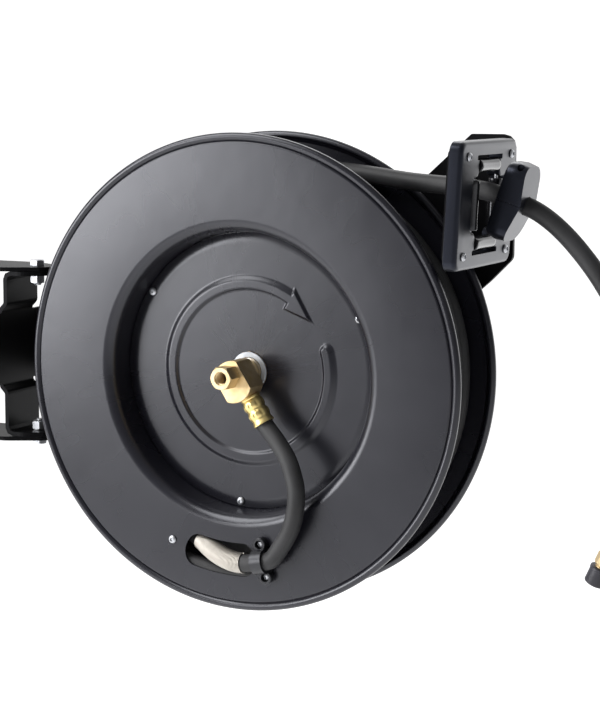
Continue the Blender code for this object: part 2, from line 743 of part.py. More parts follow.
def arm_bolts(front):
    """Bolts that hold the guide arm on the main arm, heads at the back."""
    for number, angle in enumerate(GUIDE_BOLT_ANGLES, 1):
        bolt = hex_bolt(f"guide_arm_bolt_{number}", ARM_BOLT, 2 * ARM_SHEET + 0.004)
        turned(bolt, Matrix.Rotation(math.pi, 4, "X"))
        centre = polar(GUIDE_BOLT_CIRCLE, angle)
        seat = Matrix.Translation((*centre, -ARM_DEPTH - ARM_SHEET - GAP))
        place(bolt, ZINC, front, seat)


def flange_path(recess):
    """Centre path of a pressed flange: lip, tapered recess wall, annulus, groove and rolled rim."""
    mid = -SHEET / 2
    bead = BEAD_RADIUS - SHEET / 2
    bead_centre = Vector((FLANGE_RADIUS - BEAD_RADIUS, BEAD_PROUD - BEAD_RADIUS))
    seat = -recess - SHEET - GAP - SHEET / 2
    floor = RECESS_FLOOR_RADIUS + SHEET / 2
    inner = bead_centre.x - bead
    path = rounded([(CASE_RADIUS + GAP, seat), (floor, seat), (RECESS_RADIUS, mid),
                    (inner - 0.0042, mid), (inner - 0.0010, -GROOVE_DEPTH)],
                   [0.0, 0.0, 0.0080, 0.0, 0.0], 2, closed=False)
    path += [bead_centre + polar(bead, angle) for angle in (130, 45, -40)]
    return path


def flange(name, recess):
    """Pressed sheet flange, drawn with its outer side up."""
    return revolve(name, sheet_outline(flange_path(recess), SHEET))


def arc_slot(low, high):
    """Cutter for a slot that follows the rim, with rounded corners."""
    steps = 5
    span = SLOT_END_ANGLE - SLOT_START_ANGLE
    inner = [polar(SLOT_INNER_RADIUS, SLOT_START_ANGLE + span * k / steps) for k in range(steps + 1)]
    outer = [polar(SLOT_OUTER_RADIUS, SLOT_START_ANGLE + span * k / steps) for k in range(steps + 1)]
    corners = inner + outer[::-1]
    radii = [SLOT_CORNER if k in (0, steps, steps + 1, 2 * steps + 1) else 0.0
             for k in range(len(corners))]
    return prism("slot", rounded(corners, radii, 3), low, high)


def drum_shell(drum):
    """Front and back flanges, and the barrel between them."""
    front = flange("flange_front", FRONT_RECESS)
    cut(front, arc_slot(-0.01, 0.01))
    small = SMALL_SCREW[0] + SCREW_CLEARANCE
    places = [polar(FLANGE_SCREW_RADIUS, FLANGE_SCREW_ANGLE)] + saddle_screw_places()
    for centre in places:
        cut(front, drill(small, -0.01, 0.01, 12, centre))
    for centre in cover_screw_places():
        cut(front, drill(small, -0.05, -0.02, 12, centre))
    place(front, PRESSED_BLACK, drum)

    back = flange("flange_back", BACK_RECESS)
    turned(back, Matrix.Translation((0, 0, -DRUM_WIDTH)) @ Matrix.Rotation(math.pi, 4, "X"))
    place(back, PRESSED_BLACK, drum)

    outer, inner = BARREL_RADIUS, BARREL_RADIUS - SHEET
    low, high = -DRUM_WIDTH + SHEET + GAP, -SHEET - GAP
    barrel = revolve("barrel", [(inner, low), (outer, low), (outer, high), (inner, high)])
    place(barrel, PRESSED_BLACK, drum)


def cover_screw_places():
    """Centres of the three screws of the spring cover."""
    return [polar(COVER_SCREW_CIRCLE, COVER_SCREW_ANGLE + 120 * k) for k in range(3)]


def arrow_outline():
    """Outline of the curved arrow that shows which way the drum turns as hose is drawn off."""
    steps = 20
    half = ARROW_WIDTH / 2
    span = ARROW_NECK_ANGLE - ARROW_TAIL_ANGLE
    outer = [polar(ARROW_RADIUS + half, ARROW_TAIL_ANGLE + span * k / steps) for k in range(steps + 1)]
    inner = [polar(ARROW_RADIUS - half, ARROW_TAIL_ANGLE + span * k / steps) for k in range(steps + 1)]
    head = ARROW_HEAD_WIDTH / 2
    barbs = [polar(ARROW_RADIUS + head, ARROW_NECK_ANGLE), polar(ARROW_RADIUS, ARROW_TIP_ANGLE),
             polar(ARROW_RADIUS - head, ARROW_NECK_ANGLE)]
    tail = [polar(ARROW_RADIUS, ARROW_TAIL_ANGLE) + polar(half, ARROW_TAIL_ANGLE + a)
            for a in (135, 90, 45)]
    return outer + barbs + inner[::-1] + tail


def spring_cover(drum):
    """Disc over the spring, with its bearing hub and the raised arrow, and its three screws."""
    seat = BEARING_RADIUS + GAP
    face = -FRONT_RECESS
    hub = seat + HUB_WALL
    deep = face - BEARING_LENGTH
    cover = revolve("spring_cover", [(seat, face), (COVER_RADIUS, face), (COVER_RADIUS, COVER_BACK),
                                     (hub, COVER_BACK), (hub, deep), (seat, deep)])
    join(cover, prism("arrow", arrow_outline(), face - SHEET / 2, face + ARROW_HEIGHT))
    radius = SMALL_SCREW[0] + SCREW_CLEARANCE
    for centre in cover_screw_places():
        cut(cover, drill(radius, -0.05, -0.02, 12, centre))
    place(cover, PRESSED_BLACK, drum)
    for number, centre in enumerate(cover_screw_places(), 1):
        screw = button_screw(f"cover_screw_{number}", SMALL_SCREW, 0.0080)
        place(screw, ZINC, drum, Matrix.Translation((*centre, face + GAP)))


def spring_case(drum):
    """Cup that holds the mainspring, its rim clamped by the cover's screws."""
    rim_front = LIP_FRONT - SHEET - GAP
    rear = rim_front - CASE_DEPTH
    open_radius = 0.030
    wall = CASE_RADIUS - SHEET
    profile = [(wall, rim_front), (COVER_RADIUS, rim_front), (COVER_RADIUS, rim_front - SHEET),
               (CASE_RADIUS, rim_front - SHEET), (CASE_RADIUS, rear), (open_radius, rear),
               (open_radius, rear + SHEET), (wall, rear + SHEET)]
    case = revolve("spring_case", profile)
    radius = SMALL_SCREW[0] + SCREW_CLEARANCE
    for centre in cover_screw_places():
        cut(case, drill(radius, -0.05, -0.02, 12, centre))
    place(case, PRESSED_BLACK, drum)


def mainspring_span():
    """Heights between which the mainspring's strip lies."""
    middle = LIP_FRONT - SHEET - GAP - CASE_DEPTH / 2
    return middle - SPRING_WIDTH / 2, middle + SPRING_WIDTH / 2


def mainspring(drum):
    """Flat spiral spring from the axle's slot out to the case."""
    inner = AXLE_RADIUS + 0.0030
    outer = CASE_RADIUS - SHEET - SPRING_STRIP / 2 - GAP
    steps = SPRING_TURNS * SPRING_STEPS
    path = [Vector((AXLE_RADIUS - SPRING_SLOT_DEPTH, 0.0)), Vector((inner, 0.0))]
    for k in range(1, steps + 1):
        share = k / steps
        path.append(polar(inner + (outer - inner) * share, 360 * SPRING_TURNS * share))
    low, high = mainspring_span()
    place(prism("mainspring", sheet_outline(path, SPRING_STRIP), low, high), SPRING_STEEL, drum)


def back_disc(drum):
    """Disc in the back flange's recess, with the rear bearing's hub."""
    seat = BEARING_RADIUS + GAP
    hub = seat + HUB_WALL
    rear = BACK_DISC_REAR
    profile = [(seat, rear), (seat, rear + BEARING_LENGTH), (hub, rear + BEARING_LENGTH),
               (hub, rear + SHEET), (COVER_RADIUS, rear + SHEET), (COVER_RADIUS, rear)]
    place(revolve("back_disc", profile), PRESSED_BLACK, drum)


def bearings(drum):
    """Plain bushes of the drum on its axle, and the collar in front of them."""
    bore = AXLE_RADIUS + RUNNING_GAP
    for name, low in (("bearing_front", -FRONT_RECESS - BEARING_LENGTH), ("bearing_back", BACK_DISC_REAR)):
        high = low + BEARING_LENGTH
        profile = [(bore, low), (BEARING_RADIUS, low), (BEARING_RADIUS, high), (bore, high)]
        place(revolve(name, profile, 16), BRONZE, drum)
    low = -FRONT_RECESS + GAP
    high = low + COLLAR_THICKNESS
    profile = [(bore, low), (BEARING_RADIUS - GAP, low), (BEARING_RADIUS - GAP, high), (bore, high)]
    place(revolve("bearing_collar", profile, 16), ZINC, drum)


def ratchet(drum):
    """Toothed wheel on the drum's back, on a hub that stands off the disc."""
    valley = RATCHET_RADIUS - TOOTH_DEPTH
    outline = []
    for k in range(TEETH):
        start = PAWL_TOOTH_ANGLE + 360 / TEETH * k
        outline.append(polar(RATCHET_RADIUS, start))
        outline.append(polar(valley, start))
        outline.append(polar((valley + RATCHET_RADIUS) / 2, start + 180 / TEETH))
    top = RATCHET_FRONT
    wheel = prism("ratchet_wheel", outline, top - RATCHET_THICKNESS, top)
    hub_top = BACK_DISC_REAR - GAP
    join(wheel, cylinder("hub", RATCHET_HUB_RADIUS, top - RATCHET_THICKNESS / 2, hub_top, 16))
    bore = AXLE_RADIUS + 2 * RUNNING_GAP
    cut(wheel, drill(bore, top - 0.02, hub_top + 0.01, 16))
    place(wheel, STEEL, drum)


def pawl(front):
    """Pawl in a ratchet tooth, its shoulder pin and its coil spring."""
    along, out = pawl_tangents()
    tip = pawl_tip()
    pivot = pawl_pivot()
    centre = Vector((PAWL_REACH, PAWL_LIFT))
    hollow = Vector((PAWL_HOLLOW_REACH, PAWL_HOLLOW_LIFT))
    arc = [centre + polar(PAWL_BOSS_RADIUS, a) for a in range(-110, 101, 30)]
    flat = [Vector((PAWL_PLAY, 0.0)), hollow] + arc + [Vector((PAWL_PLAY, PAWL_NOSE))]
    outline = [tip + along * p.x + out * p.y - pivot for p in flat]
    low = RATCHET_FRONT - RATCHET_THICKNESS
    lever = prism("pawl", outline, low, RATCHET_FRONT)
    hole = PAWL_PIN_RADIUS + RUNNING_GAP
    cut(lever, drill(hole, low - 0.01, RATCHET_FRONT + 0.01, 12))
    seat = Matrix.Translation((*pivot, 0))
    place(lever, STEEL, front, seat)

    head = RATCHET_FRONT + GAP
    tail = -ARM_DEPTH - ARM_SHEET - 0.002
    profile = [(0.0, tail), (PAWL_PIN_RADIUS, tail), (PAWL_PIN_RADIUS, head), (PAWL_HEAD_RADIUS, head),
               (PAWL_HEAD_RADIUS, head + PAWL_HEAD), (0.0, head + PAWL_HEAD)]
    place(revolve("pawl_pin", profile, 12), ZINC, front, seat)

    top = low - 2 * GAP - PAWL_SPRING_WIRE / 2
    bottom = GUIDE_ARM_FRONT + 2 * GAP + PAWL_SPRING_WIRE / 2
    radius = PAWL_PIN_RADIUS + GAP + PAWL_SPRING_WIRE
    steps = PAWL_SPRING_TURNS * 8
    coil = []
    for k in range(steps + 1):
        point = polar(radius, 45 * k)
        coil.append((point.x, point.y, bottom + (top - bottom) * k / steps))
    place(tube("pawl_spring", coil, PAWL_SPRING_WIRE / 2, 1), SPRING_STEEL, front, seat)


def inlet_stem(front):
    """Hollow stem through the swivel, screwed into the axle, with the hexagon inlet in front."""
    shoulder = SWIVEL_FRONT + GAP
    mouth = shoulder + INLET_LENGTH
    tail = -AXLE_FRONT_DEPTH - STEM_THREAD_DEPTH
    stem = cylinder("inlet_stem", STEM_RADIUS, tail, shoulder + 0.004, 16)
    nose = prism("hexagon", hexagon(INLET_HEX), shoulder, mouth - 0.0012)
    tapered = loft("rim", [[(*p, mouth - 0.0012) for p in circle(INLET_HEX * 0.49, 18)],
                           [(*p, mouth) for p in circle(INLET_HEX * 0.46, 18)]])
    join(stem, nose, tapered)
    cut(stem, drill(INLET_BORE_RADIUS, mouth - INLET_BORE_DEPTH, mouth + 0.01, 16))
    cut(stem, drill(AIR_PASSAGE_RADIUS, OUTLET_DEPTH - 0.004, mouth, 12))
    cross = drill(AIR_PASSAGE_RADIUS * 0.7, -0.02, 0.02, 12)
    cut(stem, turned(cross, outlet_matrix()))
    place(stem, BRASS, front)


def outlet_matrix():
    """Frame with z along the outlet of the swivel, in the front view's frame."""
    out = polar(1.0, OUTLET_ANGLE)
    return frame_matrix((0, 0, OUTLET_DEPTH), (-out.y, out.x, 0), (0, 0, 1), (out.x, out.y, 0))


def swivel(drum):
    """Brass swivel body on the stem, and the ribbed ferrule crimped on the hose."""
    body = cylinder("swivel_body", SWIVEL_RADIUS, SWIVEL_BACK, SWIVEL_FRONT, 24)
    flats = box("flats", (-0.03, -SWIVEL_FLATS / 2, -0.03), (0.03, SWIVEL_FLATS / 2, 0.03))
    keep(body, turned(flats, Matrix.Rotation(math.radians(OUTLET_ANGLE), 4, "Z")))
    shank_end = -AXLE_FRONT_DEPTH + GAP
    join(body, cylinder("shank", SHANK_RADIUS, shank_end, SWIVEL_BACK + 0.002, 16))
    bore = STEM_RADIUS + RUNNING_GAP
    cut(body, drill(bore, shank_end - 0.01, SWIVEL_FRONT + 0.01, 16))
    groove = revolve("groove", [(bore - 0.001, OUTLET_DEPTH - 0.003), (bore + 0.0015, OUTLET_DEPTH - 0.003),
                                (bore + 0.0015, OUTLET_DEPTH + 0.003), (bore - 0.001, OUTLET_DEPTH + 0.003)], 16)
    cut(body, groove)
    port = drill(FERRULE_NIPPLE_RADIUS + GAP, bore, 0.03, 16)
    cut(body, turned(port, outlet_matrix()))
    place(body, BRASS, drum)

    start, end = FERRULE_START, FERRULE_START + FERRULE_LENGTH
    neck = start + 0.0060
    rib = (end - 0.003 - neck) / FERRULE_RIBS
    profile = [(0.0035, start - 0.008), (FERRULE_NIPPLE_RADIUS, start - 0.008), (FERRULE_NIPPLE_RADIUS, start),
               (FERRULE_RADIUS * 0.86, start), (FERRULE_RADIUS * 0.86, neck)]
    for k in range(FERRULE_RIBS):
        profile.append((FERRULE_RADIUS, neck + rib * (k + 0.15)))
        profile.append((FERRULE_RADIUS, neck + rib * (k + 0.60)))
        profile.append((FERRULE_RADIUS - 0.0007, neck + rib * (k + 0.80)))
    sleeve = HOSE_RADIUS + GAP
    profile += [(FERRULE_RADIUS, end), (sleeve, end), (sleeve, start + FERRULE_SOCKET), (0.0035, start + FERRULE_SOCKET)]
    place(turned(revolve("hose_ferrule", profile, 12), outlet_matrix()), BRASS, drum)


def saddle_matrix():
    """Frame of the saddle: x along the hose, y across it, z off the flange's face."""
    return Matrix.Translation((SADDLE_X, SADDLE_Y, 0)) @ Matrix.Rotation(
        math.radians(SADDLE_TURN), 4, "Z")


def saddle_screw_places():
    """Centres of the saddle's two screws on the front flange."""
    half = SADDLE_SCREW_SPACING / 2
    return [(saddle_matrix() @ Vector((0, y, 0))).to_2d() for y in (half, -half)]


def inner_hose_route():
    """Chosen points of the hose from the ferrule, over the flange and through the slot."""
    out = polar(1.0, OUTLET_ANGLE)
    start = FERRULE_START + FERRULE_SOCKET + GAP
    end = FERRULE_START + FERRULE_LENGTH
    mount = saddle_matrix()
    lift = SADDLE_HOSE_HEIGHT
    points = [(*(out * reach), OUTLET_DEPTH) for reach in (start, start + 0.010, end, end + 0.004)]
    bow = [(0.0420, 0.338, 0.0005), (0.0568, 0.432, 0.0070), (0.0660, 0.554, 0.0112),
           (0.0678, 0.633, 0.0125), (0.0635, 0.773, 0.0118), (0.0530, 0.891, 0.0104)]
    points += [(x, share * SADDLE_Y, z) for x, share, z in bow]
    points += [tuple(mount @ Vector((x, 0, lift))) for x in (0.010, 0.003, -0.003, -0.010)]
    dive = [(0.0, -88.0, 0.0090), (0.0023, -94.1, 0.0035), (0.0045, -99.5, -0.0045),
            (0.0063, -104.3, -0.0120), (0.0084, -110.5, -0.0158)]
    points += [(*polar(SLOT_MIDDLE_RADIUS - inward, angle), z) for inward, angle, z in dive]
    inside = BARREL_RADIUS + HOSE_RADIUS + POCKET_LIFT
    points += [(*polar(inside, POCKET_START + a), -0.0164) for a in (4.4, 0.3)]
    return smooth_curve(points, 0.0125)


def inner_hose(drum):
    """Inner end of the hose with its saddle, screws and kink guard."""
    route = inner_hose_route()
    place(tube("hose_inner_end", route, HOSE_RADIUS), RUBBER, drum)

    inner = HOSE_RADIUS + HOSE_CLEARANCE
    crown = inner + SADDLE_WALL
    foot = GAP
    ear = SADDLE_SCREW_SPACING / 2 + 0.0055
    lift = SADDLE_HOSE_HEIGHT
    arch = [Vector((0, lift)) + polar(crown, 22.5 * k) for k in range(9)]
    hollow = [Vector((0, lift)) + polar(inner, 180 - 22.5 * k) for k in range(9)]
    outline = [(ear, foot), (ear, foot + 0.003), (crown, foot + 0.003)] + [tuple(p) for p in arch]
    outline += [(-crown, foot + 0.003), (-ear, foot + 0.003), (-ear, foot), (-inner, foot)]
    outline += [tuple(p) for p in hollow] + [(inner, foot)]
    saddle = prism("hose_saddle", outline, -SADDLE_WIDTH / 2, SADDLE_WIDTH / 2)
    turned(saddle, frame_matrix((0, 0, 0), (0, 1, 0), (0, 0, 1), (1, 0, 0)))
    turned(saddle, saddle_matrix())
    radius = SMALL_SCREW[0] + SCREW_CLEARANCE
    for centre in saddle_screw_places():
        cut(saddle, drill(radius, -0.01, 0.01, 12, centre))
    place(saddle, PLASTIC, drum)
    for number, centre in enumerate(saddle_screw_places(), 1):
        screw = button_screw(f"saddle_screw_{number}", SMALL_SCREW, foot + 0.003 + GAP + SHEET)
        place(screw, ZINC, drum, Matrix.Translation((*centre, foot + 0.003 + GAP)))
    screw = button_screw("flange_screw", SMALL_SCREW, 0.0050)
    seat = (*polar(FLANGE_SCREW_RADIUS, FLANGE_SCREW_ANGLE), GAP)
    place(screw, ZINC, drum, Matrix.Translation(seat))
    kink_guard(drum, route)


def kink_guard(drum, route):
    """Close coil of wire round the hose, from the saddle into the slot."""
    fine = smooth_curve(route, GUARD_PITCH / GUARD_CURL_POINTS)
    edge = saddle_matrix() @ Vector((-SADDLE_WIDTH / 2 - GUARD_WIRE, 0, SADDLE_HOSE_HEIGHT))
    first = min(range(len(fine)), key=lambda k: (fine[k] - edge).length)
    radius = HOSE_RADIUS + 2 * GAP + GUARD_WIRE / 2
    coil = []
    for k in range(GUARD_CURLS * GUARD_CURL_POINTS + 1):
        ahead = (fine[first + k + 1] - fine[first + k - 1]).normalized()
        across = ahead.cross(Vector((0, 0, 1))).normalized()
        turn = Matrix.Rotation(2 * math.pi * k / GUARD_CURL_POINTS, 3, ahead)
        coil.append(fine[first + k] + turn @ across * radius)
    print(f"kink guard: least gap between curls {coil_gap(coil, GUARD_CURL_POINTS) - GUARD_WIRE:.5f} m")
    place(tube("kink_guard", coil, GUARD_WIRE / 2, 1), ZINC, drum)


def coil_gap(points, per_turn):
    """Least distance between centre points that lie half a turn or more apart."""
    least = 1.0
    for k, point in enumerate(points):
        for other in points[k + per_turn // 2 + 1:]:
            least = min(least, (Vector(point) - Vector(other)).length)
    return least


def winding_points():
    """Outer layer of hose: loops side by side, each shifting one pitch in a short crossover."""
    step = 360 / LOOP_POINTS
    late = LEAVE_ANGLE - CROSSOVER_END
    early = LEAVE_ANGLE - CROSSOVER_START
    count = int((360 * WRAPS - late) / step)
    points = []
    for k in range(count, -1, -1):
        before_end = k * step
        wrap = WRAPS - 1
        for loop in range(1, WRAPS):
            share = (before_end - 360 * loop + late) / (late - early)
            wrap -= min(1.0, max(0.0, share))
        point = polar(SURFACE_RADIUS, LEAVE_ANGLE + before_end)
        depth = SHEET + SIDE_PLAY + HOSE_RADIUS + WRAP_PITCH * wrap
        points.append(Vector((point.x, point.y, -depth)))
    return points


def winding(drum):
    """Hose on the drum: a plain core of buried layers and the outer layer of loops."""
    step = math.pi / LOOP_POINTS
    outer = SURFACE_RADIUS * math.cos(step) - HOSE_RADIUS - GAP
    inner = BARREL_RADIUS + GAP
    low, high = -DRUM_WIDTH + SHEET + GAP, -SHEET - GAP
    core = revolve("hose_core", [(inner, low), (outer, low), (outer, high), (inner, high)])
    span = POCKET_END - POCKET_START
    sweep = [POCKET_START + span * k / 5 for k in range(6)]
    sector = [polar(BARREL_RADIUS - 0.01, a) for a in sweep]
    sector += [polar(FLANGE_RADIUS, a) for a in sweep[::-1]]
    cut(core, prism("pocket", sector, -SHEET - POCKET_DEPTH, 0.01))
    place(core, RUBBER, drum)

    points = winding_points()
    leave = (points[-1] - Vector((0, 0, points[-1].z))).normalized()
    tangent = Vector((leave.y, -leave.x, 0))
    points.append(points[-1] + tangent * 2 * HOSE_RADIUS)
    place(tube("hose_winding", points, HOSE_RADIUS, 1), RUBBER, drum)
    gap = coil_gap(points, LOOP_POINTS) - 2 * HOSE_RADIUS
    print(f"hose winding: least gap between loops {gap:.5f} m")
    return points[-1], tangent


def stop_matrix():
    """Frame of the hose stop: x along the hose as it leaves the guide, z up across it."""
    centre = Matrix.Translation((DRUM_X + STOP_X, FRONT_Y - DRUM_MIDDLE, STOP_HEIGHT))
    return centre @ Matrix.Rotation(math.radians(STOP_PITCH), 4, "Y")


def leading_hose(front, start, tangent):
    """Hose from the drum through the roller guide into the hose stop."""
    to_front = front_matrix().inverted()
    begin = start + tangent * GAP
    stop = stop_matrix()
    middle = STOP_LENGTH / 2 - GAP
    window = guide_matrix().translation
    points = [begin, begin + tangent * 0.030, begin + tangent * 0.062 + Vector((0, 0, 0.0045)),
              to_front @ (window + Vector((-0.0748, 0.0135, 0.0168))),
              to_front @ (window + Vector((-0.0248, 0.0020, 0.0140))),
              to_front @ stop @ Vector((-0.012, 0, 0)), to_front @ stop @ Vector((0, 0, 0)),
              to_front @ stop @ Vector((middle, 0, 0))]
    place(tube("hose_lead", smooth_curve(points, 0.018), HOSE_RADIUS), RUBBER, front)


def roller_guide(guide):
    """Moulded housing with four rollers on steel pins, and its screws."""
    edge = HOUSING_EDGE
    back = -HOUSING_THICKNESS
    inset = [(back, 0.0), (-edge, 0.0), (-edge * 0.3, edge * 0.3), (0.0, edge)]
    sections = []
    for depth, inward in inset:
        outline = rounded_rectangle(HOUSING_WIDTH - 2 * inward, HOUSING_HEIGHT - 2 * inward,
                                    HOUSING_CORNER - inward * 0.6)
        sections.append([(*p, depth) for p in outline])
    housing = loft("guide_housing", sections)
    pocket = ROLLER_RADIUS + POCKET_GAP
    side = SIDE_ROLLER_SPACING / 2
    level = LEVEL_ROLLER_SPACING / 2
    long_side = SIDE_ROLLER_LENGTH / 2 + POCKET_GAP
    long_level = LEVEL_ROLLER_LENGTH / 2 + POCKET_GAP
    openings = [(side + pocket, long_side), (long_level, level + pocket)]
    for y, z in openings:
        cut(housing, box("window", (-y, -z, back - 0.01), (y, z, 0.01)))
    for sign in (-1, 1):
        z = sign * CORE_OUT_CENTRE
        cut(housing, box("core out", (-CORE_OUT_LENGTH / 2, z - CORE_OUT_HEIGHT / 2, back - 0.01),
                         (CORE_OUT_LENGTH / 2, z + CORE_OUT_HEIGHT / 2, 0.01)))
    pin_hole = PIN_RADIUS + GAP
    for sign in (-1, 1):
        reach = SIDE_ROLLER_LENGTH / 2 + PIN_HOLD + GAP
        hole = drill(pin_hole, -reach, reach, 12)
        cut(housing, turned(hole, roller_matrix(0.0, sign * side, True, drawing=True)))
        reach = LEVEL_ROLLER_LENGTH / 2 + PIN_HOLD + GAP
        hole = drill(pin_hole, -reach, reach, 12)
        cut(housing, turned(hole, roller_matrix(sign * level, 0.0, False, drawing=True)))
    for centre in housing_screw_places():
        radius = SMALL_SCREW[0] + SCREW_CLEARANCE
        cut(housing, drill(radius, back - 0.01, 0.01, 12, centre))
    place(turned(housing, guide_face()), PLASTIC, guide)

    rollers = (("left", 0.0, -side, True, SIDE_ROLLER_LENGTH), ("right", 0.0, side, True, SIDE_ROLLER_LENGTH),
               ("top", level, 0.0, False, LEVEL_ROLLER_LENGTH), ("bottom", -level, 0.0, False, LEVEL_ROLLER_LENGTH))
    for name, z, y, upright, length in rollers:
        roller(guide, name, z, y, upright, length)
    turn = Matrix.Rotation(math.pi / 2, 4, "Y")
    for number, (y, z) in enumerate(housing_screw_places(), 1):
        screw = button_screw(f"guide_screw_{number}", SMALL_SCREW, HOUSING_THICKNESS + 0.006)
        place(turned(screw, turn), ZINC, guide, Matrix.Translation((GAP, y, z)))


def roller_matrix(z, y, upright, drawing=False):
    """Frame of a roller with its axis along z, in the guide's frame or its face drawing."""
    if upright:
        rotation = frame_matrix((0, 0, 0), (1, 0, 0), (0, 1, 0), (0, 0, 1))
    else:
        rotation = frame_matrix((0, 0, 0), (1, 0, 0), (0, 0, -1), (0, 1, 0))
    result = Matrix.Translation((-ROLLER_SETBACK, y, z)) @ rotation
    if drawing:
        return guide_face().inverted() @ result
    return result


def roller(guide, name, z, y, upright, length):
    """Waisted roller on its pin."""
    half = length / 2 - GAP
    bore = PIN_RADIUS + RUNNING_GAP
    end = ROLLER_RADIUS - 0.0008
    profile = [(bore, -half), (end, -half), (ROLLER_RADIUS, -half + 0.0012), (ROLLER_RADIUS, half - 0.0012),
               (end, half), (bore, half)]
    matrix = roller_matrix(z, y, upright)
    place(revolve(f"roller_{name}", profile, 14), ROLLER_PLASTIC, guide, matrix)
    reach = length / 2 + PIN_HOLD
    place(cylinder(f"roller_pin_{name}", PIN_RADIUS, -reach, reach, 10), STEEL, guide, matrix)


def hose_stop(swing):
    """Two moulded halves clamped on the hose with two screws."""
    matrix = stop_matrix()
    sections = []
    for x, tall, wide, corner in ((0.0, 1.0, 1.0, 0.010), (0.006, 1.0, 1.0, 0.011), (0.020, 0.96, 0.92, 0.014),
                                  (STOP_LENGTH, 0.74, 0.70, 0.014)):
        outline = rounded_rectangle(STOP_WIDE * wide, STOP_TALL * tall, corner)
        sections.append([(x, *p) for p in outline])
    screw_x = STOP_SCREW_SETBACK
    radius = STOP_SCREW[0] + SCREW_CLEARANCE
    for name, low, high in (("upper", GAP / 2, 0.1), ("lower", -0.1, -GAP / 2)):
        half = loft(f"stop_{name}", sections)
        keep(half, box("half", (-0.1, -0.1, low), (0.1, 0.1, high)))
        bore = turned(drill(HOSE_RADIUS + GAP, -0.1, 0.1, 16), Matrix.Rotation(math.pi / 2, 4, "Y"))
        cut(half, bore)
        for y in (-STOP_SCREW_SPACING / 2, STOP_SCREW_SPACING / 2):
            cut(half, drill(radius, -0.018, 0.1, 12, (screw_x, y)))
            if name == "upper":
                cut(half, drill(STOP_SCREW[1] / 2 + GAP, 0.016, 0.1, 12, (screw_x, y)))
        place(half, PLASTIC, swing, swing.matrix_world.inverted() @ matrix)
    for number, y in enumerate((-STOP_SCREW_SPACING / 2, STOP_SCREW_SPACING / 2), 1):
        screw = button_screw(f"stop_screw_{number}", STOP_SCREW, 0.0320, 0.0009)
        seat = matrix @ Matrix.Translation((screw_x, y, 0.016 + GAP))
        place(screw, ZINC, swing, swing.matrix_world.inverted() @ seat)


def hanging_route():
    """Chosen points of the free hose, in the plane of the drum's middle, from the stop down."""
    y = FRONT_Y - DRUM_MIDDLE
    stop = stop_matrix()
    reaches = (STOP_LENGTH / 2 + GAP, STOP_LENGTH - 0.004, STOP_LENGTH + 0.004)
    points = [stop @ Vector((reach, 0, 0)) for reach in reaches]
    route = [(0.2777, 0.1424), (0.2947, 0.1275), (0.3063, 0.1148), (0.3178, 0.1005),
             (0.3385, 0.0690), (0.3560, 0.0330), (0.3660, -0.0080), (0.3655, -0.0500),
             (0.3545, -0.0890), (0.3395, -0.1240)]
    points += [Vector((DRUM_X + x, y, z)) for x, z in route]
    return points


def hanging_hose(swing):
    """Free end of the hose with its brass fitting and cap."""
    route = smooth_curve(hanging_route(), 0.019)
    place(tube("hose_tail", route, HOSE_RADIUS), RUBBER, swing, swing.matrix_world.inverted())
    end = route[-1]
    down = (route[-1] - route[-2]).normalized()
    across = Vector((0, 1, 0))
    seat = frame_matrix(end + down * GAP, across.cross(down), across, down)
    sleeve = 0.010
    step = sleeve + 0.002
    profile = [(0.0, 0.0), (FITTING_RADIUS, 0.0), (FITTING_RADIUS, sleeve), (FITTING_RADIUS * 0.85, step),
               (FITTING_RADIUS * 0.85, FITTING_LENGTH - FITTING_SPIGOT),
               (FITTING_RADIUS * 0.7, FITTING_LENGTH - FITTING_SPIGOT),
               (FITTING_RADIUS * 0.7, FITTING_LENGTH), (0.0, FITTING_LENGTH)]
    local = swing.matrix_world.inverted()
    place(revolve("end_fitting", profile, 14), BRASS, swing, local @ seat)
    inner = FITTING_RADIUS * 0.7 + GAP
    low = FITTING_LENGTH - FITTING_SPIGOT + GAP
    floor = FITTING_LENGTH + GAP
    high = low + CAP_LENGTH
    profile = [(inner, low), (CAP_RADIUS, low), (CAP_RADIUS, high - 0.002), (CAP_RADIUS - 0.002, high),
               (0.0, high), (0.0, floor), (inner, floor)]
    place(revolve("end_cap", profile, 14), RUBBER, swing, local @ seat)


def main():
    """Build the whole reel."""
    clear_scene()
    wall_bracket()
    swing_fasteners()
    swing = empty("frame_swing", Matrix.Translation((PIVOT_X, 0, 0)))
    front = empty("axle_line", front_matrix(), swing)
    drum = empty("drum_spin", front_matrix(), swing)
    guide = empty("guide_frame", guide_matrix(), swing)
    bpy.context.view_layer.update()
    main_arm(swing)
    guide_arm(front)
    arm_bolts(front)
    axle(front)
    pawl(front)
    inlet_stem(front)
    drum_shell(drum)
    spring_cover(drum)
    spring_case(drum)
    mainspring(drum)
    back_disc(drum)
    bearings(drum)
    ratchet(drum)
    swivel(drum)
    inner_hose(drum)
    start, tangent = winding(drum)
    leading_hose(front, start, tangent)
    roller_guide(guide)
    hose_stop(swing)
    hanging_hose(swing)
    bpy.context.view_layer.update()


main()
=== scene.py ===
import json
import math

import bmesh
import bpy
from mathutils import Matrix, Vector


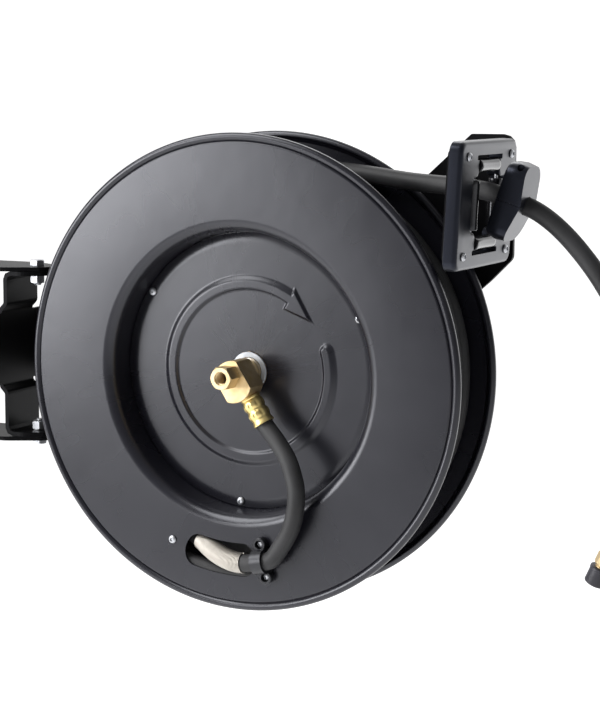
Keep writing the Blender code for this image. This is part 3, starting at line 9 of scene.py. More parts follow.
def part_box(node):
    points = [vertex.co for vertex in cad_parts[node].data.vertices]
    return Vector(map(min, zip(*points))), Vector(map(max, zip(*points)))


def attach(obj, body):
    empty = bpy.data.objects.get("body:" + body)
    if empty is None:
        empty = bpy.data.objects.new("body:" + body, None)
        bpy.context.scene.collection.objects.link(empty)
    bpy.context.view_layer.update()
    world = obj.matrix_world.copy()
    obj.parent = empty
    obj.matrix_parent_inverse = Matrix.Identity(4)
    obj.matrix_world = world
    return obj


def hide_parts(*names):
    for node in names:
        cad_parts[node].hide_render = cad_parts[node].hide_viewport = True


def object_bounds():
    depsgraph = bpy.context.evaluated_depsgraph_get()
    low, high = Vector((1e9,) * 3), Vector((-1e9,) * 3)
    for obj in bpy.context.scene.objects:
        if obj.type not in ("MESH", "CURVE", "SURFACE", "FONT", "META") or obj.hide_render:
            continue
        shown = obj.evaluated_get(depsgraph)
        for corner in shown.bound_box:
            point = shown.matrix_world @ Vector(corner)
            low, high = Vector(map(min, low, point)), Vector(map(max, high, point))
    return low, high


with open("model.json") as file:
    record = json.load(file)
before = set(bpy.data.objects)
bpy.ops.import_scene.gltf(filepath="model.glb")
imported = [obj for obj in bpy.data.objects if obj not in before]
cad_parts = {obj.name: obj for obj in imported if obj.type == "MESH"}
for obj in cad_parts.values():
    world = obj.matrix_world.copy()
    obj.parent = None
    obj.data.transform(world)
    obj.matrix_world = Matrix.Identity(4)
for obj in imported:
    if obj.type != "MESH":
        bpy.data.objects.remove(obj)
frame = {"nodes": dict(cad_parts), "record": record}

CAD_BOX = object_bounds()

# Clearances, and how far a cutter reaches past a face
GAP = 0.0003
HOSE_CLEARANCE = 0.0005
CUT_PAST = 0.0100

# Drum, in the front view: x right, y up, z towards the viewer, origin in the front flange's face
FLANGE_LOW, FLANGE_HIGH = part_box("flange_front")
BEAD_PROUD = 0.0010
DRUM_X = (FLANGE_LOW.x + FLANGE_HIGH.x) / 2
FRONT_Y = -0.0500
FLANGE_RADIUS = (FLANGE_HIGH.x - FLANGE_LOW.x) / 2
SHEET = 0.0016
BEAD_RADIUS = 0.0037
GROOVE_WIDTH = 0.0022
GROOVE_DEPTH = 0.0026
GROOVE_SLOPE = 0.0006
GROOVE_ROUND = 0.0012
ROLL_ANGLES = range(132, -118, -10)
RECESS_RADIUS = 0.1302
RECESS_FLOOR_RADIUS = 0.1260
RECESS_FOOT_ROUND = 0.0005
RECESS_LIP_ROUND = 0.0100
FRONT_RECESS = 0.0280
BACK_RECESS = 0.0120
CASE_RADIUS = 0.1130
COVER_EDGE = RECESS_FLOOR_RADIUS - GAP
COVER_FOLD = 0.0002
COVER_SCREW_CIRCLE = 0.1209
COVER_SCREW_ANGLE = 26.0
BARREL_RADIUS = 0.1440
BEARING_SEAT = 0.0183
COLLAR_BORE_RADIUS = 0.0128
COLLAR_THICKNESS = 0.0014

# Hose
HOSE_RADIUS = 0.0080
WRAPS = 5
WRAP_PITCH = 0.0169
LAYER_PITCH = 0.0164
SIDE_PLAY = 0.0006
LEAVE_ANGLE = 85.0
CROSSOVER_START = 62.0
CROSSOVER_END = 22.0
POCKET_START = -122.0
POCKET_END = -58.0
POCKET_DEPTH = 0.0260
DRUM_WIDTH = (WRAPS - 1) * WRAP_PITCH + 2 * HOSE_RADIUS + 2 * SIDE_PLAY + 2 * SHEET
DRUM_MIDDLE = -DRUM_WIDTH / 2
SURFACE_RADIUS = BARREL_RADIUS + HOSE_RADIUS + GAP + 2 * LAYER_PITCH

# Raised arrow: its band, its slopes, the radii between which the cover is finely ringed, and its head
ARROW_RADIUS = 0.0798
ARROW_WIDTH = 0.0102
ARROW_HEIGHT = 0.0022
ARROW_OUTER_SLOPE = 0.0066
ARROW_INNER_SLOPE = 0.0032
ARROW_HEAD_SLOPE = 0.0028
ARROW_ZONE = (0.0664, 0.0938)
ARROW_TAIL_ANGLE = 16.0
ARROW_NECK_ANGLE = -301.0
ARROW_TIP_ANGLE = -321.5
ARROW_HEAD_RADIUS = 0.0784
ARROW_HEAD_WIDTH = 0.0202

# Slot and screw in the front flange
SLOT_INNER_RADIUS = 0.1533
SLOT_OUTER_RADIUS = 0.1838
SLOT_START_ANGLE = -107.5
SLOT_END_ANGLE = -83.0
SLOT_CORNER = 0.0120
FLANGE_SCREW_RADIUS = 0.1696
FLANGE_SCREW_ANGLE = 247.6

# Swivel, inlet and ferrule
SWIVEL_RADIUS = 0.0190
SWIVEL_FLATS = 0.0270
SWIVEL_SHIFT = (0.0021, -0.0053)
SWIVEL_FRONT = 0.0100
SWIVEL_BACK = -0.0170
SHANK_RADIUS = 0.0105
AXLE_FRONT_DEPTH = 0.0266
STEM_RADIUS = 0.0064
INLET_HEX = 0.0190
INLET_LENGTH = 0.0172
INLET_BORE_RADIUS = 0.0057
INLET_BORE_DEPTH = 0.0150
OUTLET_ANGLE = -57.0
OUTLET_DEPTH = -0.0045
FERRULE_RADIUS = 0.0100
FERRULE_START = 0.0195
FERRULE_LENGTH = 0.0310
FERRULE_SOCKET = 0.0100

# Saddle and kink guard
SADDLE_X = 0.0310
SADDLE_Y = -0.1655
SADDLE_TURN = 12.0
SADDLE_WIDTH = 0.0110
SADDLE_WALL = 0.0024
SADDLE_SCREW_SPACING = 0.0300
SADDLE_HOSE_HEIGHT = 0.0105
GUARD_WIRE = 0.0012
GUARD_PITCH = 0.00137
GUARD_CURLS = 45
GUARD_LEAD = 0.0112
EAR_RADIUS = 0.0061
EAR_HEIGHT = 0.0070
CUP_RADIUS = 0.0040
CUP_FLOOR = 0.0024

# Roller guide
GUIDE_FACE = 0.2198
GUIDE_HEIGHT = 0.1560
GUIDE_PITCH = 3.0
HOUSING_WIDTH = 0.1300
HOUSING_HEIGHT = 0.1080
HOUSING_THICKNESS = 0.0120
HOUSING_CORNER = 0.0090
HOUSING_EDGE = 0.0040
ROLLER_RADIUS = 0.0062
ROLLER_SETBACK = 0.0040
SIDE_ROLLER_SPACING = 0.0540
SIDE_ROLLER_LENGTH = 0.0425
LEVEL_ROLLER_SPACING = 0.0660
LEVEL_ROLLER_LENGTH = 0.0440
POCKET_GAP = 0.0010
PIN_RADIUS = 0.0015
PIN_HOLD = 0.0060
CORE_OUT_LENGTH = 0.0570
CORE_OUT_HEIGHT = 0.0040
CORE_OUT_CENTRE = 0.0400
HOUSING_SCREW_WIDTH = 0.0990
HOUSING_SCREW_HEIGHT = 0.0830
LIP_RADIUS = 0.0070
LIP_ROUND = 0.0025

# Hose stop
STOP_X = 0.2345
STOP_HEIGHT = 0.1622
STOP_PITCH = 19.0
STOP_LENGTH = 0.0228
STOP_TALL = 0.0680
STOP_WIDE = 0.0405
STOP_SCREW_SPACING = 0.0300
STOP_SCREW_SETBACK = 0.0110
STOP_SCREW_SEAT = 0.0160
STOP_BROW = 0.0062

# Hose end
FITTING_RADIUS = 0.0085
FITTING_LENGTH = 0.0320
FITTING_SPIGOT = 0.0060
CAP_RADIUS = 0.0098
CAP_LENGTH = 0.0160

# Fasteners: shank radius, width of the head, height of the head
SMALL_SCREW = (0.0020, 0.0076, 0.0024)
CLAMP_SCREW = (0.0020, 0.0064, 0.0020)
STOP_SCREW = (0.0016, 0.0055, 0.0020)
SHORT_SHANK = 0.0050
STOP_SHANK = 0.0320
THREAD_PITCH = 0.00125
HEX_BOLT = (0.0040, 0.0130, 0.0053)
SWING_NUT_HEIGHT = 0.0080
AXLE_NUT = (0.0100, 0.0300, 0.0100)

# Bracket, arms and the spring of the pawl
PIVOT_X = 0.1250
LUG_HALF_HEIGHT = 0.0797
BRACKET_HALF_HEIGHT = 0.0840
FRAME_SHEET = 0.0040
ARM_DEPTH = 0.1180
ARM_BOLT_CIRCLE = 0.0440
ARM_BOLT_ANGLES = (135.0, 315.0)
PAWL_SPRING_WIRE = 0.0012
PAWL_SPRING_TURNS = 4

# Camera, from the photograph's perspective
CAMERA_PLACE = (1.2057, -1.6224, 0.2552)
CAMERA_RIGHT = (0.8825, 0.4704, 0.0)
CAMERA_UP = (-0.0667, 0.1251, 0.9899)
CAMERA_FORWARD = (-0.4656, 0.8735, -0.1418)
CAMERA_LENS = 100.8
CAMERA_SENSOR = 36.0
CAMERA_SHIFT = (0.0904, 0.0208)

# Light: the surround's level, the backdrop's own glow, and the lamps as name, direction from the drum,
# distance, size and power
SURROUND = 0.27
BACKDROP_GLOW = 0.82
LAMPS = (("key", (-0.699, -0.706, 0.117), 2.3, (1.34, 1.08), 51.0),
         ("back right", (0.38, 0.92, -0.06), 2.3, (1.6, 1.6), 9.0),
         ("overhead", (-0.50, -0.42, 0.76), 2.3, (1.5, 1.5), 54.0),
         ("rear top", (-0.20, 0.66, 0.72), 2.3, (1.3, 1.3), 16.0))

ROUND_STEPS = 288
TUBE_SIDES = 32


# Frames of reference

def frame_matrix(origin, x_axis, y_axis, z_axis):
    """Matrix of a frame with its origin and its three axes."""
    result = Matrix((x_axis, y_axis, z_axis)).transposed().to_4x4()
    result.translation = Vector(origin)
    return result


def polar(radius, degrees):
    """Point at a radius and an angle, counter-clockwise as seen from the front."""
    angle = math.radians(degrees)
    return Vector((radius * math.cos(angle), radius * math.sin(angle)))


FRONT_VIEW = frame_matrix((DRUM_X, FRONT_Y, 0), (1, 0, 0), (0, 0, 1), (0, -1, 0))
GUIDE = (Matrix.Translation((DRUM_X + GUIDE_FACE, FRONT_Y - DRUM_MIDDLE, GUIDE_HEIGHT))
         @ Matrix.Rotation(math.radians(GUIDE_PITCH), 4, "Y"))
GUIDE_DRAWING = GUIDE @ frame_matrix((0, 0, 0), (0, 1, 0), (0, 0, 1), (1, 0, 0))
STOP = (Matrix.Translation((DRUM_X + STOP_X, FRONT_Y - DRUM_MIDDLE, STOP_HEIGHT))
        @ Matrix.Rotation(math.radians(STOP_PITCH), 4, "Y"))
SADDLE = (Matrix.Translation((SADDLE_X, SADDLE_Y, 0))
          @ Matrix.Rotation(math.radians(SADDLE_TURN), 4, "Z"))
OUTLET_AXIS = polar(1.0, OUTLET_ANGLE)
OUTLET = frame_matrix((0, 0, OUTLET_DEPTH), (-OUTLET_AXIS.y, OUTLET_AXIS.x, 0), (0, 0, 1),
                      (OUTLET_AXIS.x, OUTLET_AXIS.y, 0))
UPRIGHT = Matrix.Rotation(math.pi / 2, 4, "Y")
LYING = Matrix.Rotation(math.pi / 2, 4, "X")


def smooth_share(value):
    """Value held between 0 and 1, with soft ends."""
    share = min(1.0, max(0.0, value))
    return share * share * (3 - 2 * share)


# Shader expressions

class Field:
    """A shader socket that takes part in arithmetic: each operator adds a Math node."""

    def __init__(self, paint, socket):
        self.paint = paint
        self.socket = socket

    def math(self, operation, *others):
        """Math node on this value and others."""
        return self.paint.node("ShaderNodeMath", {"operation": operation}, dict(enumerate((self, *others))))

    def swapped(self, operation, other):
        """Math node with this value second."""
        return self.paint.node("ShaderNodeMath", {"operation": operation}, {0: other, 1: self})

    def __add__(self, other):
        return self.math("ADD", other)

    def __radd__(self, other):
        return self.swapped("ADD", other)

    def __sub__(self, other):
        return self.math("SUBTRACT", other)

    def __rsub__(self, other):
        return self.swapped("SUBTRACT", other)

    def __mul__(self, other):
        return self.math("MULTIPLY", other)

    def __rmul__(self, other):
        return self.swapped("MULTIPLY", other)

    def __truediv__(self, other):
        return self.math("DIVIDE", other)

    def __rtruediv__(self, other):
        return self.swapped("DIVIDE", other)


class Paint:
    """One procedural finish, with its shader and the nodes that feed it."""

    def __init__(self, name, roughness=0.5, metallic=0.0, **constants):
        self.material = bpy.data.materials.new(name)
        self.material.use_nodes = True
        self.tree = self.material.node_tree
        self.shader = self.tree.nodes["Principled BSDF"]
        self.shader.inputs["Roughness"].default_value = roughness
        self.shader.inputs["Metallic"].default_value = metallic
        for socket, value in constants.items():
            self.shader.inputs[socket.replace("_", " ")].default_value = value

    def node(self, kind, settings=None, inputs=None, output=0):
        """Add a node: its settings first, then its sockets' values or links."""
        made = self.tree.nodes.new(kind)
        for key, value in (settings or {}).items():
            if key == "stops":
                self.stops(made.color_ramp, value)
            else:
                setattr(made, key, value)
        for key, value in (inputs or {}).items():
            if isinstance(value, Field):
                self.tree.links.new(value.socket, made.inputs[key])
            else:
                made.inputs[key].default_value = value
        return Field(self, made.outputs[output])

    @staticmethod
    def stops(ramp, places):
        """Set a colour ramp's stops from (position, grey) pairs."""
        while len(ramp.elements) < len(places):
            ramp.elements.new(1.0)
        for element, (position, grey) in zip(ramp.elements, places):
            element.position = position
            element.color = (grey, grey, grey, 1.0)

    def feed(self, socket, value):
        """Link a field to a socket of the shader."""
        self.tree.links.new(value.socket, self.shader.inputs[socket])

    def place(self):
        """Point on the piece, in its own frame."""
        return self.node("ShaderNodeTexCoord", output="Object")

    def split(self, vector):
        """The three numbers of a vector."""
        made = self.tree.nodes.new("ShaderNodeSeparateXYZ")
        self.tree.links.new(vector.socket, made.inputs[0])
        return [Field(self, socket) for socket in made.outputs]

    def joined(self, x, y, z):
        """Vector of three numbers."""
        return self.node("ShaderNodeCombineXYZ", None, {0: x, 1: y, 2: z})

    def noise(self, scale, detail=2.0, vector=None, roughness=0.5):
        """Noise from 0 to 1."""
        source = vector or self.place()
        return self.node("ShaderNodeTexNoise", None,
                         {"Vector": source, "Scale": scale, "Detail": detail, "Roughness": roughness})

    def ramp(self, value, *places):
        """Value read through a grey ramp."""
        return self.node("ShaderNodeValToRGB", {"stops": places}, {0: value})

    def mix(self, low, high, factor):
        """Blend of two colours."""
        return self.node("ShaderNodeMix", {"data_type": "RGBA"},
                         {0: factor, 6: self.colour(low), 7: self.colour(high)}, 2)

    @staticmethod
    def colour(value):
        """A field as it is, or a plain colour made opaque."""
        return value if isinstance(value, Field) else (*value, 1.0)

    def bump(self, *layers):
        """Chain of bumps from (height field, strength, distance) into the shader's normal."""
        normal = None
        for height, strength, distance in layers:
            inputs = {"Height": height, "Strength": strength, "Distance": distance}
            if normal:
                inputs["Normal"] = normal
            normal = self.node("ShaderNodeBump", None, inputs)
        self.feed("Normal", normal)

    def rounds(self):
        """Distance from the piece's own axis, and height along it."""
        x, y, z = self.split(self.place())
        return (x * x + y * y).math("SQRT"), z


# Finishes, each with the tint of its gloss where that isn't white

COOL = (0.93, 0.94, 1.0, 1.0)
BLUISH = (0.36, 0.39, 0.52, 1.0)


def powder_coat(name, colour, roughness, gloss, spun):
    """Satin black coat with a fine orange peel, dust and, on spun sheet, faint radial streaks."""
    paint = Paint(name, roughness, Specular_IOR_Level=gloss, Specular_Tint=COOL)
    patches = paint.noise(9.0, 3.0)
    dust = paint.ramp(paint.noise(230.0, 4.0), (0.62, 0.0), (0.86, 1.0))
    lighter = tuple(2.2 * c for c in colour)
    tone = paint.mix(colour, lighter, patches * 0.4 + dust * 0.10)
    rough = roughness - 0.05 + patches * 0.10
    if spun:
        x, y, _ = paint.split(paint.place())
        radius = (x * x + y * y).math("SQRT")
        spokes = paint.joined(x / radius * 9.0, y / radius * 9.0, radius * 7.0)
        streak = paint.noise(1.0, 1.0, spokes)
        rough = rough + (streak - 0.5) * 0.04
        tone = paint.mix(tone, lighter, (streak - 0.45) * 0.2)
        paint.bump((paint.noise(45.0, 1.0), 0.10, 0.0010))
    else:
        paint.bump((paint.noise(60.0, 2.0), 0.04, 0.001), (paint.noise(1400.0, 2.0), 0.12, 0.00025))
    paint.feed("Base Color", tone)
    paint.feed("Roughness", rough)
    return paint.material


def stretched(paint, scales):
    """The point's three numbers, each times its own scale."""
    return [value * scale for value, scale in zip(paint.split(paint.place()), scales)]


def plated(name, colour, tint, roughness):
    """Bright plating, slightly clouded and finely scratched."""
    paint = Paint(name, roughness, 1.0)
    cloud = paint.noise(160.0, 3.0)
    scratch = paint.noise(1.0, 3.0, paint.joined(*stretched(paint, (300.0, 2600.0, 2600.0))))
    paint.feed("Base Color", paint.mix(colour, tint, cloud))
    paint.feed("Roughness", roughness - 0.06 + cloud * 0.12 + scratch * 0.05)
    paint.bump((scratch, 0.08, 0.00012))
    return paint.material


def machined(name, colour, tarnish, roughness, lathe=3200.0):
    """Turned metal: rings from the tool round the piece's own axis, and patches of tarnish."""
    paint = Paint(name, roughness, 1.0)
    radius, along = paint.rounds()
    rings = paint.noise(1.0, 3.0, paint.joined(radius * lathe, along * lathe, 0.0))
    patches = paint.noise(95.0, 4.0)
    stain = paint.ramp(patches, (0.42, 0.0), (0.78, 1.0))
    paint.feed("Base Color", paint.mix(colour, tarnish, stain * 0.7 + rings * 0.12))
    paint.feed("Roughness", roughness - 0.05 + rings * 0.10 + stain * 0.14)
    paint.bump((rings, 0.10, 0.00012))
    return paint.material


def rubber(name, colour, roughness):
    """Extruded rubber: fine grain and a dusty bloom."""
    paint = Paint(name, roughness, Specular_IOR_Level=0.32)
    bloom = paint.ramp(paint.noise(34.0, 5.0), (0.38, 0.0), (0.80, 1.0))
    grain = paint.noise(2100.0, 3.0)
    lighter = tuple(2.6 * c + 0.004 for c in colour)
    paint.feed("Base Color", paint.mix(colour, lighter, bloom * 0.6 + grain * 0.15))
    paint.feed("Roughness", roughness - 0.07 + bloom * 0.12 + grain * 0.06)
    paint.bump((paint.noise(260.0, 3.0), 0.07, 0.0006), (grain, 0.22, 0.0002))
    return paint.material


def moulded(name, colour, roughness, texture, tint=COOL):
    """Injection-moulded plastic with a spark-eroded grain."""
    paint = Paint(name, roughness, Specular_Tint=tint)
    grain = paint.noise(1500.0, 3.0)
    cloud = paint.noise(24.0, 3.0)
    lighter = tuple(1.7 * c for c in colour)
    paint.feed("Base Color", paint.mix(colour, lighter, cloud * 0.6 + grain * 0.1))
    paint.feed("Roughness", roughness - 0.05 + cloud * 0.08 + grain * 0.05)
    paint.bump((grain, texture, 0.0002))
    return paint.material


FRAME_COAT = powder_coat("frame powder coat", (0.0026, 0.0026, 0.0029), 0.40, 0.06, False)
SHEET_COAT = powder_coat("pressed sheet powder coat", (0.0060, 0.0059, 0.0088), 0.28, 0.5, True)
ZINC_PLATE = plated("bright zinc plate", (0.52, 0.53, 0.55), (0.38, 0.39, 0.42), 0.42)
NICKEL_WIRE = plated("satin nickel wire", (0.60, 0.57, 0.52), (0.48, 0.45, 0.41), 0.44)
TURNED_STEEL = machined("turned steel", (0.56, 0.56, 0.57), (0.34, 0.33, 0.32), 0.32)
SPRING_STEEL = plated("oiled spring steel", (0.20, 0.21, 0.25), (0.12, 0.13, 0.16), 0.34)
COLLAR_STEEL = machined("turned collar steel", (0.46, 0.48, 0.51), (0.36, 0.38, 0.41), 0.54, 2200.0)
BUSH_BRONZE = machined("sintered bronze", (0.50, 0.33, 0.18), (0.30, 0.19, 0.10), 0.42)
TURNED_BRASS = machined("turned brass", (0.66, 0.52, 0.31), (0.50, 0.36, 0.17), 0.46)
CRIMPED_BRASS = machined("crimped brass", (0.76, 0.61, 0.27), (0.58, 0.43, 0.15), 0.34, 1500.0)
COPPERY_BRASS = machined("coppery brass", (0.92, 0.62, 0.40), (0.75, 0.45, 0.26), 0.30)
HOSE_RUBBER = rubber("hose rubber", (0.0165, 0.0165, 0.0176), 0.56)
CAP_RUBBER = rubber("cap rubber", (0.0230, 0.0225, 0.0290), 0.46)
HOUSING_PLASTIC = moulded("guide housing plastic", (0.0066, 0.0072, 0.0098), 0.30, 0.05, BLUISH)
SADDLE_PLASTIC = moulded("saddle plastic", (0.0070, 0.0072, 0.0085), 0.36, 0.10)
ROLLER_PLASTIC = moulded("polished roller plastic", (0.0060, 0.0060, 0.0068), 0.16, 0.02)


# Mesh tools

def solid(name, vertices, faces, sharp=34.0):
    """Object from points and faces, smooth-shaded up to an angle."""
    bm = bmesh.new()
    points = [bm.verts.new(p) for p in vertices]
    for face in faces:
        bm.faces.new([points[k] for k in face])
    return finished(name, bm, sharp)


def finished(name, bm, sharp=34.0):
    """Object from a bmesh, its faces pointing out."""
    bmesh.ops.remove_doubles(bm, verts=bm.verts, dist=1e-7)
    bmesh.ops.recalc_face_normals(bm, faces=bm.faces)
    mesh = bpy.data.meshes.new(name)
    bm.to_mesh(mesh)
    bm.free()
    mesh.shade_smooth()
    mesh.set_sharp_from_angle(angle=math.radians(sharp))
    result = bpy.data.objects.new(name, mesh)
    bpy.context.scene.collection.objects.link(result)
    return result


def skin(rings, closed):
    """Faces between successive rings of equally many points; closed also joins last to first."""
    count = len(rings[0])
    points = [p for ring in rings for p in ring]
    faces = []
    last = len(rings) if closed else len(rings) - 1
    for k in range(last):
        near, far = k * count, (k + 1) % len(rings) * count
        for n in range(count):
            m = (n + 1) % count
            faces.append((near + n, near + m, far + m, far + n))
    return points, faces


def loft(name, sections, sharp=34.0):
    """Solid through successive outlines, capped at both ends."""
    points, faces = skin(sections, False)
    count = len(sections[0])
    faces.append(tuple(range(count)))
    faces.append(tuple(range(len(points) - count, len(points))))
    return solid(name, points, faces, sharp)


def prism(name, outline, low, high):
    """Solid between two heights over a flat outline."""
    return loft(name, [[(p[0], p[1], z) for p in outline] for z in (low, high)])


def turned(name, profile, steps=96, dent=None, sharp=34.0):
    """Solid turned about Z from (radius, height) points; the ends may lie on the axis."""
    bm = bmesh.new()
    rings = []
    for k in range(steps):
        angle = 2 * math.pi * k / steps
        ring = []
        for r, z in profile:
            if dent and r > 0:
                r = r - dent(angle, z)
            ring.append(bm.verts.new((r * math.cos(angle), r * math.sin(angle), z)))
        rings.append(ring)
    open_ends = profile[0][0] == 0 and profile[-1][0] == 0
    count = len(profile)
    for near, far in zip(rings, rings[1:] + rings[:1]):
        for n in range(count - 1 if open_ends else count):
            m = (n + 1) % count
            corners = [near[n], near[m], far[m], far[n]]
            if profile[n][0] == 0:
                corners.remove(far[n])
            if profile[m][0] == 0:
                corners.remove(far[m])
            if len(corners) > 2:
                bm.faces.new(corners)
    if open_ends:
        for end in (0, count - 1):
            bmesh.ops.pointmerge(bm, verts=[ring[end] for ring in rings], merge_co=rings[0][end].co)
    return finished(name, bm, sharp)


def rod(name, radius, low, high, steps):
    """Plain round bar between two heights."""
    return turned(name, [(0.0, low), (radius, low), (radius, high), (0.0, high)], steps)


def arc_point(start, end, share):
    """Point part of the way along the arc between two spokes of equal length."""
    angle = start.angle(end)
    if angle < 1e-6:
        return start.lerp(end, share)
    return (start * math.sin((1 - share) * angle) + end * math.sin(share * angle)) / math.sin(angle)


def rounded(points, radii, steps=6, closed=True):
    """Path with each corner replaced by an arc of its own radius."""
    corners = [Vector(p) for p in points]
    if isinstance(radii, float):
        radii = [radii] * len(corners)
    result = []
    last = len(corners) - 1
    for k, corner in enumerate(corners):
        if radii[k] == 0 or (not closed and k in (0, last)):
            result.append(corner)
            continue
        before = (corners[k - 1] - corner).normalized()
        after = (corners[(k + 1) % len(corners)] - corner).normalized()
        half = before.angle(after) / 2
        start = corner + before * radii[k] / math.tan(half)
        end = corner + after * radii[k] / math.tan(half)
        centre = corner + (before + after).normalized() * radii[k] / math.sin(half)
        for s in range(steps + 1):
            result.append(centre + arc_point(start - centre, end - centre, s / steps))
    return result


def rounded_rectangle(width, height, corner, steps=8):
    """Outline of a rectangle with rounded corners, centred."""
    x, y = width / 2, height / 2
    return rounded([(-x, -y), (x, -y), (x, y), (-x, y)], corner, steps)


def circle(radius, steps=48, centre=(0.0, 0.0)):
    """Outline of a circle."""
    return [Vector(centre) + polar(radius, 360 * k / steps) for k in range(steps)]


def sheet_outline(path, thickness):
    """Closed outline of a sheet of constant thickness along a centre path."""
    sides = ([], [])
    for k, point in enumerate(path):
        back = (point - path[k - 1]).normalized() if k else None
        ahead = (path[k + 1] - point).normalized() if k + 1 < len(path) else None
        direction = ((back or ahead) + (ahead or back)).normalized()
        normal = Vector((-direction.y, direction.x))
        mitre = direction.dot(ahead or back)
        sides[0].append(point + normal * thickness / 2 / mitre)
        sides[1].append(point - normal * thickness / 2 / mitre)
    return sides[0] + sides[1][::-1]


def boolean(operation, target, *tools, sharp=34.0):
    """Apply an exact Boolean of one object with others, which are used up."""
    for tool in tools:
        modifier = target.modifiers.new(operation, "BOOLEAN")
        modifier.operation = operation
        modifier.solver = "EXACT"
        modifier.object = tool
        graph = bpy.context.evaluated_depsgraph_get()
        mesh = bpy.data.meshes.new_from_object(target.evaluated_get(graph))
        target.modifiers.clear()
        target.data = mesh
        bpy.data.objects.remove(tool, do_unlink=True)
    target.data.shade_smooth()
    target.data.set_sharp_from_angle(angle=math.radians(sharp))
    return target


def cut(target, *tools):
    """Take tools away from an object."""
    return boolean("DIFFERENCE", target, *tools)


def join(target, *tools):
    """Add tools to an object."""
    return boolean("UNION", target, *tools)


def keep(target, *tools):
    """Keep what an object shares with tools."""
    return boolean("INTERSECT", target, *tools)


def moved(item, matrix):
    """Move an object's mesh by a matrix."""
    item.data.transform(matrix)
    return item


def eased(item, width, segments=3, angle=38.0):
    """Small round along an object's sharp edges."""
    modifier = item.modifiers.new("eased edges", "BEVEL")
    modifier.width = width
    modifier.segments = segments
    modifier.limit_method = "ANGLE"
    modifier.angle_limit = math.radians(angle)
    modifier.harden_normals = True
    return item


def piece(item, finish, body, matrix=None, nodes=()):
    """Give a piece its finish, place and body, and hide the CAD nodes that it stands for."""
    item.data.materials.clear()
    item.data.materials.append(finish)
    if matrix is not None:
        item.matrix_world = matrix
    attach(item, body)
    if nodes:
        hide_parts(*nodes)
    return item


# Hoses and wires

def smooth_curve(points, spacing):
    """Read points at an even spacing from a smooth curve through chosen points."""
    knots = [Vector(p) for p in points]
    knots = [2 * knots[0] - knots[1]] + knots + [2 * knots[-1] - knots[-2]]
    fine = []
    for a, b, c, d in zip(knots, knots[1:], knots[2:], knots[3:]):
        for s in range(24):
            t = s / 24
            fine.append(0.5 * (2 * b + (c - a) * t + (2 * a - 5 * b + 4 * c - d) * t**2
                               + (3 * b - a - 3 * c + d) * t**3))
    fine.append(knots[-2])
    lengths = [0.0]
    for a, b in zip(fine, fine[1:]):
        lengths.append(lengths[-1] + (b - a).length)
    steps = max(2, round(lengths[-1] / spacing))
    result = []
    near = 0
    for s in range(steps + 1):
        want = lengths[-1] * s / steps
        while near < len(fine) - 2 and lengths[near + 1] < want:
            near += 1
        share = (want - lengths[near]) / (lengths[near + 1] - lengths[near])
        result.append(fine[near].lerp(fine[near + 1], min(1.0, share)))
    return result


def swept(name, points, radius, sides=TUBE_SIDES):
    """Round tube along points, with rounded-over ends and no twist along it."""
    points = [Vector(p) for p in points]
    tangents = []
    for k in range(len(points)):
        before = points[max(0, k - 1)]
        after = points[min(len(points) - 1, k + 1)]
        tangents.append((after - before).normalized())
    across = tangents[0].orthogonal().normalized()
    rings = []
    edge = radius * 0.06
    for k, (point, tangent) in enumerate(zip(points, tangents)):
        across = (across - tangent * across.dot(tangent)).normalized()
        other = tangent.cross(across)
        rows = [(0.0, radius)]
        if k == 0:
            rows = [(0.0, radius - edge), (edge, radius)]
        if k == len(points) - 1:
            rows = [(-edge, radius), (0.0, radius - edge)]
        for shift, r in rows:
            ring = []
            for s in range(sides):
                angle = 2 * math.pi * s / sides
                spoke = across * math.cos(angle) + other * math.sin(angle)
                ring.append(point + tangent * shift + spoke * r)
            rings.append(ring)
    return loft(name, rings, 50.0)


# Fasteners

def button_screw(screw, length):
    """Domed screw with a hexagon socket, its seat on z = 0 and its shank down."""
    radius, across, height = screw
    outer = across / 2
    foot = 0.0003
    dome = [(outer - 0.0002, 0.0), (outer, foot)]
    for k in range(1, 7):
        angle = math.radians(90 * k / 7)
        dome.append((outer * math.cos(angle) * 0.999, foot + (height - foot) * math.sin(angle)))
    profile = [(0.0, -length), (radius, -length), (radius, 0.0)] + dome + [(0.0, height)]
    made = turned("button", profile, 40)
    return cut(made, prism("socket", circle(outer * 0.52, 6), height * 0.35, height * 2))


def button_screws(names, nodes, screw, length, body, places):
    """Like screws of one body, one at each place."""
    pattern = button_screw(screw, length)
    for name, node, place in zip(names, nodes, places):
        copy = bpy.data.objects.new(name, pattern.data.copy())
        bpy.context.scene.collection.objects.link(copy)
        piece(copy, ZINC_PLATE, body, place, (node,))
    bpy.data.objects.remove(pattern, do_unlink=True)


def hex_head(name, across, height, chamfered=(True, True)):
    """Hexagon with its corners turned off at the chosen ends, standing on z = 0."""
    corner = across / math.sqrt(3)
    foot, top = (corner * (0.88 if turned_off else 1.02) for turned_off in chamfered)
    side = corner * 1.01
    drop = corner * 0.15
    profile = [(0.0, 0.0), (foot, 0.0), (side, drop), (side, height - drop), (top, height), (0.0, height)]
    return keep(prism(name, circle(corner, 6), 0.0, height), turned("corners", profile, 72))


def thread(radius, low, high, pitch, depth):
    """Profile rows of a thread, drawn as rings, from low to high."""
    rows = []
    count = max(1, int((high - low) / pitch))
    step = (high - low) / count
    for k in range(count):
        rows.append((radius - depth, low + step * k))
        rows.append((radius, low + step * (k + 0.5)))
    return rows


